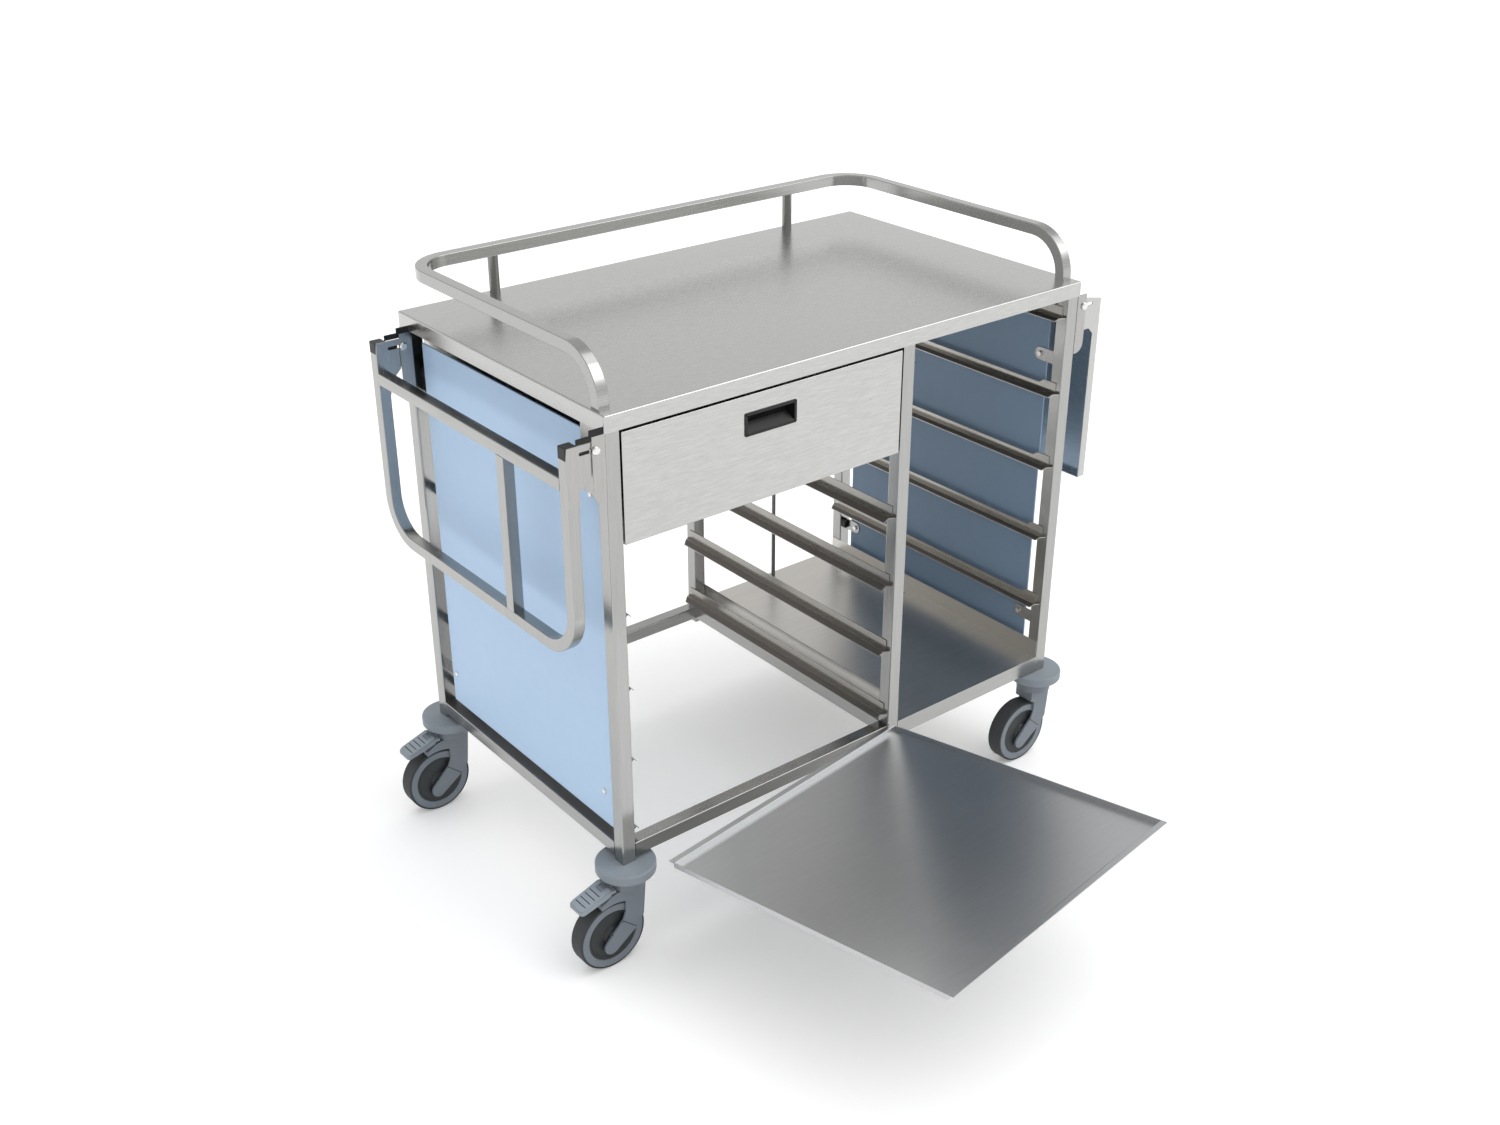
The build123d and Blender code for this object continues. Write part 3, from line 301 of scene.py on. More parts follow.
class Finishes:
    """Every finish of the trolley, each made once and shared by its pieces."""

    # Ground stainless sheet: streaks along the grain under a soft gloss.
    steel_x = BrushedSteel("brushed_sheet_along_x")
    steel_y = BrushedSteel("brushed_sheet_along_y", grain=Grain.Y)
    # Drawn and satin polished tube: long faint lines and clearer reflections than sheet.
    tube_x = BrushedSteel(
        "satin_tube_along_x", "#AEAEAC", "#A0A09E", Grain.X, 1.6, 90.0, (0.17, 0.25), relief=0.02)
    tube_y = replace(tube_x, name="satin_tube_along_y", grain=Grain.Y)
    tube_z = replace(tube_x, name="satin_tube_along_z", grain=Grain.Z)
    # Painted shade: a darker copy of the tube steel for the front rail's front faces, standing in for the
    # shaded floor they reflect.
    rail_front_shade = replace(tube_x, name="painted_shade_front_rail_face", light="#8A8A88", dark="#7C7C7A")
    # Satin shelf sheet: nearly even, with blurred reflections of the runners and the panel.
    shelf = BrushedSteel(
        "satin_shelf_sheet", "#D2CFCA", "#C6C3BE", Grain.X, 3.0, 60.0, (0.28, 0.34), relief=0.015)
    # Drawn round bar: darker than the tube beside it, a painted shade for the dark reflections on thin round
    # bars.
    bar = BrushedSteel("painted_shade_round_bar", "#8A8A88", "#7C7C7A", Grain.Z, 1.6, 90.0, (0.2, 0.28))
    # Painted shade: dull dark steel on the hidden top rails, so the gaps round the drawer look dark, and the
    # base of darker copies that paint shade on rail tops and runner lips.
    shade = BrushedSteel("painted_shade_hidden_tube", "#5E5C5A", "#525050", Grain.Y, 1.6, 90.0, (0.34, 0.44))
    # Painted shade on the left rail's top faces, below the panel's lower edge.
    rail_top_shade = replace(shade, name="painted_shade_top_of_rail", light="#828182", dark="#747374")
    # Painted shade on the sloping lips of the runners.
    lip_shade = replace(shade, name="painted_shade_runner_lips", light="#6A6662", dark="#5C5854")
    # Folded strip: faint lines along its length. The left bay's runners take a darker copy as painted shade,
    # and the right bay's the lighter one.
    left_runner_shade = BrushedSteel(
        "painted_shade_folded_strip", "#AAA7A2", "#9C9994", Grain.Y, 2.0, 120.0, (0.2, 0.28), relief=0.02)
    right_runner = replace(left_runner_shade, name="satin_folded_strip", light="#B9B6B0", dark="#ABA8A2")
    # Stamped plate: short upright lines and a middling gloss.
    fitting = BrushedSteel("satin_hinge_plate", "#B1B0AE", "#A3A2A0", Grain.Z, 1.5, 40.0, (0.22, 0.3))
    # Cold rolled tray sheet: almost no lines, and wide soft reflections.
    tray = BrushedSteel(
        "smooth_rolled_tray_sheet", "#C2C3C4", "#BABBBC", Grain.X, 3.0, 60.0, (0.3, 0.36), relief=0.01)
    # Polished screws, pins and axles: small sharp glints.
    bright = BrushedSteel(
        "polished_screw_steel", "#E2E2E0", "#D8D8D6", Grain.X, 0.8, 6.0, (0.14, 0.22), 12.0, 0.02)
    # Pressed laminate: pale blue, and a darker greyer copy that paints shade on the right panel's inner
    # face.
    blue = Moulded("blue_laminate_panel", "#C2DDFA", "#BBD8F6", (0.42, 0.52), grit=2.2, relief=0.05)
    blue_shade = Moulded("painted_shade_blue_laminate", "#8BA3BC", "#849CB6", (0.5, 0.6), grit=2.2, relief=0.05)
    # Moulded ABS: near black with a dull shine, and a blacker copy without shine that paints the shade
    # inside the pull.
    black = Moulded(
        "black_abs", "#121213", "#18181A", (0.36, 0.5), grit=0.9, mottle_size=9.0, specular=0.35)
    scoop = Moulded("painted_shade_in_scoop", "#050505", "#080808", (0.6, 0.7), grit=0.9, specular=0.1)
    # Glass filled nylon: blue grey with a soft sheen, paler where feet rub it.
    caster = Moulded("grey_glass_filled_nylon", "#7E868E", "#767E87", (0.42, 0.56), grit=1.3)
    worn_caster = replace(caster, name="rubbed_grey_nylon", colour="#959EA6", mottle="#8D969E")
    bumper = replace(caster, name="grey_bumper_nylon", colour="#8B949C", mottle="#838C94")
    # Rubber tread and wheel disc: dark, matt and gritty. The groove finish, also matt and gritty, is painted
    # shade in the narrow grooves of forks and pedals.
    rubber = Moulded("dark_grey_rubber_tread", "#3D4042", "#343739", (0.62, 0.8), grit=1.8, relief=0.2)
    hub = Moulded("dark_wheel_disc_plastic", "#2E3336", "#262A2D", (0.45, 0.6), grit=1.3)
    groove = Moulded("painted_shade_groove", "#202326", "#181B1D", (0.6, 0.75), grit=1.3)

    def __init__(self) -> None:
        """Start with no material made."""
        self.made: dict[str, Material] = {}

    def get(self, finish: Finish) -> Material:
        """Return a finish's material, built at its first use.

        Args:
            finish: One of this class's finishes.

        Returns:
            The material that all pieces of that finish share.
        """
        if finish.name not in self.made:
            self.made[finish.name] = finish.material()
        return self.made[finish.name]


def new_piece(name: str, bm: BMesh, sheet: float = 0.0) -> Object:
    """Turn a bmesh into an object at the origin, with smooth bends and flat faces.

    Args:
        name: The piece's name.
        bm: Its shape in metres, which is freed.
        sheet: Gauge in millimetres that a thin shell gets inwards, or none for a solid.

    Returns:
        The linked object.
    """
    mesh = bpy.data.meshes.new(name)
    bm.to_mesh(mesh)
    bm.free()
    for polygon in mesh.polygons:
        polygon.use_smooth = True
    mesh.set_sharp_from_angle(angle=SHARP)
    piece = bpy.data.objects.new(name, mesh)
    if sheet:
        wall = piece.modifiers.new("sheet_gauge", "SOLIDIFY")
        wall.thickness = sheet * MM
        wall.offset = -1
        wall.use_even_offset = True
    even = piece.modifiers.new("even_flats", "WEIGHTED_NORMAL")
    even.weight = LARGE_FACE_WEIGHT
    even.keep_sharp = True
    bpy.context.scene.collection.objects.link(piece)
    return piece


def merged_copy(node: Object) -> BMesh:
    """Copy a CAD node's loose triangles into one merged shape with flat faces joined.

    Args:
        node: The CAD node.

    Returns:
        The copy, to be shaped further.
    """
    bm = bmesh.new()
    bm.from_mesh(node.data)
    bmesh.ops.remove_doubles(bm, verts=bm.verts, dist=WELD)
    bmesh.ops.dissolve_limit(
        bm, angle_limit=FLAT, use_dissolve_boundaries=False, verts=bm.verts, edges=bm.edges, delimit=set())
    bmesh.ops.connect_verts_concave(bm, faces=bm.faces)
    bm.normal_update()
    return bm


def sharp_edges(bm: BMesh) -> list[BMEdge]:
    """List the outward corners of a shape.

    Args:
        bm: The shape.

    Returns:
        Its convex edges that turn by more than the smooth limit.
    """
    return [
        edge for edge in bm.edges
        if len(edge.link_faces) == 2 and edge.is_convex and edge.calc_face_angle(0) > SHARP
    ]


def round_edges(bm: BMesh, edges: list[BMEdge], radius: float, segments: int) -> None:
    """Bevel edges to a round.

    Args:
        bm: The shape that is changed.
        edges: The edges to round.
        radius: The round's size in millimetres.
        segments: Steps across the round.
    """
    if edges:
        bmesh.ops.bevel(
            bm, geom=edges, offset=radius * MM, offset_type="OFFSET", affect="EDGES", segments=segments,
            profile=0.5, material=-1, clamp_overlap=True, loop_slide=True)


def is_fold(edge: BMEdge, fold: float) -> bool:
    """Tell a sheet's fold from a cut edge.

    Args:
        edge: A sharp edge.
        fold: The fold's radius in millimetres.

    Returns:
        True if the faces on both sides are wider than the fold and the edge is long enough.
    """
    length = edge.calc_length()
    wide = all(face.calc_area() / length > FOLD_WIDTH * fold * MM for face in edge.link_faces)
    return wide and length > FOLD_LENGTH * fold * MM


def inner_corner(edge: BMEdge) -> bool:
    """Tell an inward corner from an outward or a flat one."""
    return len(edge.link_faces) == 2 and not edge.is_convex and edge.calc_face_angle(0) > SHARP


def in_groove(face: BMFace, width: float) -> bool:
    """Tell the floors and walls of grooves from other faces.

    Args:
        face: A face of the shape.
        width: The widest groove in millimetres.

    Returns:
        True for a narrow face with an inward corner along it.
    """
    sides = sorted(face.edges, key=lambda edge: edge.calc_length())[-2:]
    narrow = face.calc_area() < sides[0].calc_length() * width * MM
    return narrow and any(inner_corner(edge) for edge in sides)


def towards(direction: Vector) -> FaceTest:
    """Make a test for faces that look in a direction."""
    return lambda face: face.normal.dot(direction) > LOOKING


def slopes(face: BMFace) -> bool:
    """Tell the upper side of a sloping face from a level or an upright one."""
    return BESIDE < face.normal.z < LOOKING


def softened(node: Object, fold: float, rim: float, second: FaceTest | None = None) -> BMesh:
    """Copy a CAD node with bent folds and broken cut edges.

    Args:
        node: The CAD node.
        fold: Outer radius of a fold in millimetres.
        rim: Round of a cut edge in millimetres.
        second: Test for faces that get the piece's second finish.

    Returns:
        The softened shape.
    """
    bm = merged_copy(node)
    for face in bm.faces:
        face.material_index = 1 if second and second(face) else 0
    if fold:
        round_edges(bm, [edge for edge in sharp_edges(bm) if is_fold(edge, fold)], fold, STEPS.fold)
    if rim:
        round_edges(bm, sharp_edges(bm), rim, STEPS.rim)
    return bm


def grow_face(bm: BMesh, face: BMFace) -> tuple[BMFace, list[BMVert]]:
    """Extrude one face in place.

    Args:
        bm: The shape that is changed.
        face: The face to extrude.

    Returns:
        The new face and its corners, ready to be moved.
    """
    geom = bmesh.ops.extrude_face_region(bm, geom=[face, *face.edges])["geom"]
    grown = [item for item in geom if isinstance(item, BMFace)]
    return grown[0], [item for item in geom if isinstance(item, BMVert)]


def block(low: Vector, high: Vector) -> BMesh:
    """Make a box between two corners.

    Args:
        low: The low corner in metres.
        high: The high corner in metres.

    Returns:
        The box.
    """
    bm = bmesh.new()
    size = Matrix.Diagonal((*(high - low), 1))
    bmesh.ops.create_cube(bm, size=1, matrix=Matrix.Translation((low + high) / 2) @ size)
    bm.normal_update()
    return bm


def facing(bm: BMesh, direction: Vector) -> BMFace:
    """Return the largest face that looks in a direction."""
    return max(filter(towards(direction), bm.faces), key=lambda face: face.calc_area())


def folded_pan(low: Vector, high: Vector, open_side: Vector, fold: float) -> BMesh:
    """Fold a pan's outer skin from a box.

    Args:
        low: The low corner in metres.
        high: The high corner in metres.
        open_side: The direction of the side without a face.
        fold: The folds' outer radius in millimetres.

    Returns:
        The skin, without thickness.
    """
    bm = block(low, high)
    bmesh.ops.delete(bm, geom=[facing(bm, open_side)], context="FACES_ONLY")
    round_edges(bm, [edge for edge in bm.edges if len(edge.link_faces) == 2], fold, STEPS.fold)
    return bm


def tube_section(bm: BMesh, centre: Vector, heading: Vector, side: float, corner: float) -> BMFace:
    """Draw a square tube's section with round corners.

    Args:
        bm: The shape that gets the section.
        centre: The section's middle in metres.
        heading: The direction that the tube starts in.
        side: The tube's side in metres.
        corner: The corner's radius in metres.

    Returns:
        The section's face.
    """
    turn = heading.to_track_quat("Z", "X").to_matrix().to_4x4()
    bmesh.ops.create_grid(
        bm, x_segments=1, y_segments=1, size=side / 2, matrix=Matrix.Translation(centre) @ turn)
    bmesh.ops.bevel(
        bm, geom=bm.verts[:], offset=corner, offset_type="OFFSET", affect="VERTICES", segments=STEPS.fold,
        profile=0.5, material=-1)
    bm.faces.ensure_lookup_table()
    return bm.faces[0]


def bent_tube(corners: list[Vector], side: float, bend: float, corner: float) -> BMesh:
    """Extrude and spin a square tube along runs that meet in round bends.

    Args:
        corners: The path's corner points in metres.
        side: The tube's side in metres.
        bend: The bend's radius at the tube's middle, in metres.
        corner: The radius of the tube's long edges, in metres.

    Returns:
        The closed tube.
    """
    bm = bmesh.new()
    headings = [(after - before).normalized() for before, after in zip(corners, corners[1:])]
    end = tube_section(bm, corners[0], headings[0], side, corner)
    place = corners[0].copy()
    for number, heading in enumerate(headings):
        last = number == len(headings) - 1
        goal = corners[number + 1] if last else corners[number + 1] - heading * bend
        end, moved = grow_face(bm, end)
        bmesh.ops.translate(bm, verts=moved, vec=goal - place)
        if not last:
            onward = headings[number + 1]
            spun = bmesh.ops.spin(
                bm, geom=[end, *end.edges], cent=goal + onward * bend, axis=heading.cross(onward),
                dvec=(0, 0, 0), angle=math.pi / 2, steps=STEPS.bend, use_merge=False, use_duplicate=False)
            end = next(item for item in spun["geom_last"] if isinstance(item, BMFace))
            place = goal + (heading + onward) * bend
    bmesh.ops.remove_doubles(bm, verts=bm.verts, dist=WELD)
    bmesh.ops.recalc_face_normals(bm, faces=bm.faces)
    return bm


def turned(profile: Outline, centre: Vector, steps: int) -> BMesh:
    """Spin an outline of radius and depth about a wheel's axle.

    Args:
        profile: Closed outline as radius and place along the axle, in millimetres.
        centre: The wheel's middle in metres.
        steps: Steps round the turn.

    Returns:
        The closed turned shape.
    """
    bm = bmesh.new()
    ring = [bm.verts.new(centre + Vector((0, depth * MM, radius * MM))) for radius, depth in profile]
    edges = [bm.edges.new(pair) for pair in zip(ring, ring[1:] + ring[:1])]
    bmesh.ops.spin(
        bm, geom=ring + edges, cent=centre, axis=REAR, dvec=(0, 0, 0), angle=2 * math.pi,
        steps=steps, use_merge=True, use_duplicate=False)
    bmesh.ops.remove_doubles(bm, verts=bm.verts, dist=WELD)
    bmesh.ops.dissolve_degenerate(bm, edges=bm.edges, dist=WELD)
    bmesh.ops.recalc_face_normals(bm, faces=bm.faces)
    return bm


@dataclass
class Assembly:
    """Shared ways of building and dressing the trolley's sub-assemblies, with sizes in millimetres."""

    nodes: dict[str, Object]
    finishes: Finishes
    body: str = "frame"

    def dress(
        self, piece: Object, finish: Finish, slot: Slot, *replaced: str, body: str | None = None,
        second: Finish | None = None,
    ) -> None:
        """Give a new piece its finishes and body.

        Args:
            piece: The new piece.
            finish: Its finish.
            slot: Not used.
            replaced: CAD nodes that the piece stands for.
            body: The body it rides on, if not the assembly's own.
            second: The finish of the faces that are marked for a second one.
        """
        piece.data.materials.append(self.finishes.get(finish))
        if second:
            piece.data.materials.append(self.finishes.get(second))
        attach(piece, body or self.body)
        if replaced:
            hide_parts(*replaced)
        LOG.info("%s: %d faces", piece.name, len(piece.data.polygons))

    def soften(
        self, node: str, finish: Finish, slot: Slot, fold: float = 0.0, rim: float = 0.0,
        body: str | None = None, patch: Patch | None = None,
    ) -> None:
        """Replace a CAD node by its softened copy.

        Args:
            node: The CAD node's name.
            finish: The copy's finish.
            slot: The record's slot.
            fold: Outer radius of folds in millimetres.
            rim: Round of cut edges in millimetres.
            body: The body it rides on, if not the assembly's own.
            patch: A second finish and the test for the faces that get it.
        """
        second, test = patch or (None, None)
        piece = new_piece(f"{node}_finished", softened(self.nodes[node], fold, rim, test))
        self.dress(piece, finish, slot, node, body=body, second=second)

    def paint(self, node: str, finish: Finish) -> None:
        """Give a CAD node that stays as it is a finish.

        Args:
            node: The CAD node's name.
            finish: Its finish.
        """
        mesh = self.nodes[node].data
        mesh.materials.clear()
        mesh.materials.append(self.finishes.get(finish))
        LOG.info("%s: CAD shape kept", node)


@dataclass
class TrolleyBody(Assembly):
    """Worktop, gallery, tube frame, shelf, panels and runners."""

    gauge: float = 1.5
    sheet_fold: float = 3.0
    inner_fold: float = 3.0
    strip_fold: float = 1.0
    long_edge: float = 100.0
    tube_corner: float = 2.0
    gallery_side: float = 20.0
    gallery_bend: float = 70.0
    gallery_corner: float = 1.5
    panel_edge: float = 0.5
    tab_edge: float = 0.4
    clip_round: float = 2.0
    buffer_round: float = 1.4
    buffer_edge: float = 0.4

    def build(self) -> None:
        """Build every fixed piece."""
        self.build_sheets()
        self.build_tubes()
        self.build_gallery()
        self.build_panels()
        self.build_fittings()

    def build_sheets(self) -> None:
        """Build the worktop, the shelf and the runners."""
        finishes = self.finishes
        skin = folded_pan(*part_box("worktop"), DOWN, self.sheet_fold)
        top = new_piece("worktop_folded_pan", skin, self.gauge)
        self.dress(top, finishes.steel_x, Slot.SHEET, "worktop")
        # The shelf's front faces take the darker tube steel, a painted shade against its lighter top.
        shelf = softened(self.nodes["bottom_shelf"], self.sheet_fold, CUT_EDGE, towards(FRONT))
        inner = [edge for edge in shelf.edges if inner_corner(edge)]
        long_folds = [edge for edge in inner if edge.calc_length() > self.long_edge * MM]
        round_edges(shelf, long_folds, self.inner_fold, STEPS.lip)
        pan = new_piece("bottom_shelf_pan", shelf)
        self.dress(pan, finishes.shelf, Slot.SHEET, "bottom_shelf", second=finishes.tube_x)
        # The left bay's runners are darker with painted shade.
        for side, finish in (("left", finishes.left_runner_shade), ("right", finishes.right_runner)):
            # The sloping lips of both bays' runners take painted shade.
            self.soften(
                f"{side}_bay_runners", finish, Slot.FOLDED, self.strip_fold, CUT_EDGE,
                patch=(finishes.lip_shade, slopes))

    def build_tubes(self) -> None:
        """Build the posts and rails."""
        finishes = self.finishes
        tubes = {
            finishes.tube_z: [f"{row}_{side}_post" for row in ("front", "rear") for side in POST_ROW],
            finishes.tube_x: ["front_rail", "rear_rail"],
            finishes.tube_y: ["left_rail", "divider_rail", "right_rail"],
        }
        # Sides of rails that take painted shade, and the tests that find them.
        painted_shade_sides = {
            "front_rail": (finishes.rail_front_shade, towards(FRONT)),
            "left_rail": (finishes.rail_top_shade, towards(UP)),
        }
        for finish, nodes in tubes.items():
            for node in nodes:
                self.soften(node, finish, Slot.TUBE, self.tube_corner, CUT_EDGE, patch=painted_shade_sides.get(node))
        # The top rails carry painted shade, so the gap above the drawer looks dark.
        self.paint("top_rails", finishes.shade)

    def build_gallery(self) -> None:
        """Build the bent gallery rail and its two round posts."""
        half = self.gallery_side * MM / 2
        low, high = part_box("gallery_rail")
        front, rear, level = low.y + half, high.y - half, high.z - half
        left, right = low.x + half, high.x - half
        corners = [
            Vector((left, front, low.z)), Vector((left, front, level)), Vector((left, rear, level)),
            Vector((right, rear, level)), Vector((right, front, level)), Vector((right, front, low.z)),
        ]
        bm = bent_tube(corners, 2 * half, self.gallery_bend * MM, self.gallery_corner * MM)
        self.dress(new_piece("gallery_bent_rail", bm), self.finishes.tube_x, Slot.TUBE, "gallery_rail")
        self.soften("gallery_posts", self.finishes.bar, Slot.TUBE)

    def build_panels(self) -> None:
        """Build the blue end panels with their tabs, screws and clip."""
        finishes = self.finishes
        # The right panel's inner face, looking left into the bay, takes painted shade.
        for side, back in (("left", None), ("right", towards(LEFT))):
            node = f"{side}_side_panel"
            bm = softened(self.nodes[node], 0, 0, back)
            outline = [edge for edge in sharp_edges(bm) if edge.calc_length() > self.long_edge * MM]
            round_edges(bm, outline, self.panel_edge, STEPS.rim)
            panel = new_piece(f"{node}_finished", bm)
            self.dress(panel, finishes.blue, Slot.BLUE, node, second=finishes.blue_shade if back else None)
        self.soften("panel_tabs", finishes.fitting, Slot.FOLDED, rim=self.tab_edge)
        self.soften("panel_screws", finishes.bright, Slot.BRIGHT, rim=CUT_EDGE)
        self.soften("panel_clip", finishes.black, Slot.BLACK, self.clip_round)

    def build_fittings(self) -> None:
        """Build the hinge brackets, pins, buffers, rod, slides, bumpers and stems."""
        finishes = self.finishes
        self.soften("hinge_brackets", finishes.fitting, Slot.FOLDED, rim=CUT_EDGE)
        self.soften("hinge_pins", finishes.bright, Slot.BRIGHT, rim=CUT_EDGE)
        self.soften("hinge_buffers", finishes.black, Slot.BLACK, self.buffer_round, self.buffer_edge)
        self.soften("stop_rod", finishes.bar, Slot.BRIGHT)
        self.soften("bumper_discs", finishes.bumper, Slot.CASTER)
        self.paint("drawer_outer_slides", finishes.fitting)
        self.paint("caster_stems", finishes.bright)


@dataclass(frozen=True)
class HandleSizes:
    """Sizes of the drawer's recessed pull, in millimetres."""

    rim: float = 3.0
    proud: float = 1.5
    lip: float = 5.0
    depth: float = 13.5
    ramp: float = 14.0
    taper: float = 6.0
    corner: float = 3.0
    rim_round: float = 0.6


@dataclass
class Drawer(Assembly):
    """Drawer front, box, slides and recessed pull."""

    body: str = "drawer"
    handle: HandleSizes = HandleSizes()
    gauge: float = 1.5
    front_fold: float = 1.2
    box_fold: float = 1.6

    def build(self) -> None:
        """Build the drawer's pieces."""
        finishes = self.finishes
        front = new_piece("drawer_front_pan", self.front_pan(), self.gauge)
        self.dress(front, finishes.steel_x, Slot.SHEET, "drawer_front")
        self.soften("drawer_box", finishes.steel_y, Slot.SHEET, self.box_fold, CUT_EDGE)
        self.paint("drawer_inner_slides", finishes.fitting)
        pull = new_piece("drawer_scoop_pull", self.pull())
        self.dress(pull, finishes.black, Slot.BLACK, "drawer_handle", second=finishes.scoop)

    def front_pan(self) -> BMesh:
        """Fold the drawer front and cut its hole for the pull.

        Returns:
            The skin, without thickness.
        """
        bm = folded_pan(*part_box("drawer_front"), REAR, self.front_fold)
        low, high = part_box("drawer_handle")
        rim = Vector((self.handle.rim * MM,) * 3)
        for corner, side in ((low + rim, -1), (high - rim, 1)):
            for axis in (Vector((side, 0, 0)), Vector((0, 0, side))):
                front = [face for face in bm.faces if face.normal.dot(FRONT) > FLUSH]
                geom = {item for face in front for item in (face, *face.edges, *face.verts)}
                bmesh.ops.bisect_plane(bm, geom=list(geom), plane_co=corner, plane_no=axis)
        middle = (low + high) / 2
        hole = min(bm.faces, key=lambda face: (face.calc_center_median() - middle).length)
        bmesh.ops.delete(bm, geom=[hole], context="FACES")
        return bm

    def pull(self) -> BMesh:
        """Shape the pull from its cup: grow the rim, round its corners, then sink the scoop.

        Returns:
            The closed pull.
        """
        sizes = self.handle
        low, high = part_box("drawer_handle")
        middle = (low + high) / 2
        sheet_y = low.y + sizes.proud * MM
        rim = Vector((sizes.rim * MM, 0, sizes.rim * MM))
        bm = block(Vector((low.x, sheet_y, low.z)) + rim, high - rim)
        front, verts = grow_face(bm, facing(bm, FRONT))
        size = high - low
        spread = Vector((size.x / (size.x - 2 * rim.x), 1, size.z / (size.z - 2 * rim.z)))
        bmesh.ops.scale(bm, verts=verts, vec=spread, space=Matrix.Translation(-middle))
        front, verts = grow_face(bm, front)
        bmesh.ops.translate(bm, verts=verts, vec=(0, low.y - sheet_y, 0))
        across = [edge for vert in verts for edge in vert.link_edges if edge.other_vert(vert) not in verts]
        round_edges(bm, across, sizes.corner, STEPS.fold)
        bm.normal_update()
        front = facing(bm, FRONT)
        bmesh.ops.inset_region(bm, faces=[front], thickness=sizes.lip * MM, use_even_offset=True)
        front, verts = grow_face(bm, front)
        top = max(vert.co.z for vert in verts)
        height = top - min(vert.co.z for vert in verts)
        half = max(vert.co.x for vert in verts) - middle.x
        squeeze = Vector((1 - sizes.taper * MM / half, 1, 1 - sizes.ramp * MM / height))
        bmesh.ops.translate(bm, verts=verts, vec=(0, sizes.depth * MM, 0))
        bmesh.ops.scale(bm, verts=verts, vec=squeeze, space=Matrix.Translation((-middle.x, 0, -top)))
        bmesh.ops.recalc_face_normals(bm, faces=bm.faces)
        # Painted shade on the scoop's back and walls; its sloping floor keeps the plain black.
        front.material_index = 1
        for edge in front.edges:
            for wall in edge.link_faces:
                wall.material_index = 1 if wall.normal.z < BESIDE else 0
        rims = [edge for edge in sharp_edges(bm) if all(vert.co.y < low.y + WELD for vert in edge.verts)]
        round_edges(bm, rims, sizes.rim_round, STEPS.lip)
        return bm


@dataclass
class LeftFlap(Assembly):
    """Hanging tube frame with its crossbar, bar, caps and hinge plates."""

    body: str = "left_flap"
    tube_side: float = 20.0
    bend: float = 70.0
    corner: float = 1.5
    cap_round: float = 1.2
    cap_edge: float = 0.4
    plate_edge: float = 0.4

    def build(self) -> None:
        """Build the flap's pieces."""
        finishes = self.finishes
        half = self.tube_side * MM / 2
        low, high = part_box("left_flap_frame")
        x = (low.x + high.x) / 2
        front, rear, foot = low.y + half, high.y - half, low.z + half
        path = ((front, high.z), (front, foot), (rear, foot), (rear, high.z))
        corners = [Vector((x, *point)) for point in path]
        bm = bent_tube(corners, 2 * half, self.bend * MM, self.corner * MM)
        self.dress(new_piece("left_flap_bent_frame", bm), finishes.tube_z, Slot.TUBE, "left_flap_frame")
        self.soften("left_flap_crossbar", finishes.tube_y, Slot.TUBE, self.corner, CUT_EDGE)
        self.soften("left_flap_bar", finishes.tube_z, Slot.TUBE, self.corner, CUT_EDGE)
        self.soften("left_flap_caps", finishes.black, Slot.BLACK, self.cap_round, self.cap_edge)
        self.soften("left_flap_hinge_plates", finishes.fitting, Slot.FOLDED, rim=self.plate_edge)


@dataclass
class RightFlap(Assembly):
    """Hanging folded sheet shelf."""

    body: str = "right_flap"
    fold: float = 2.2

    def build(self) -> None:
        """Build the shelf."""
        self.soften("right_flap_shelf", self.finishes.steel_y, Slot.SHEET, self.fold, CUT_EDGE)


@dataclass
class Tray(Assembly):
    """Loose tray in front of the left bay."""

    body: str = "tray"
    fold: float = 1.8

    def build(self) -> None:
        """Build the tray."""
        self.soften("tray", self.finishes.tray, Slot.TRAY, self.fold, CUT_EDGE)


@dataclass(frozen=True)
class WheelSizes:
    """Turned sizes of a wheel, as radii, half widths and small steps in millimetres."""

    tread: float = 62.5
    half_width: float = 15.5
    shoulder: float = 59.6
    ring_inner: float = 46.0
    ring_face: float = 15.3
    ring_gap: float = 0.4
    ring_inner_edge: float = 1.2
    ring_outer_edge: float = 1.0
    ring_seat: float = 1.0
    disc_face: float = 13.2
    disc_gap: float = 0.1
    disc_rim: float = 3.0
    disc_slope: float = 3.0
    disc_dish: float = 2.0
    boss: float = 14.0
    boss_face: float = 14.4
    boss_edge: float = 1.0
    boss_flare: float = 1.5
    bore: float = 5.0


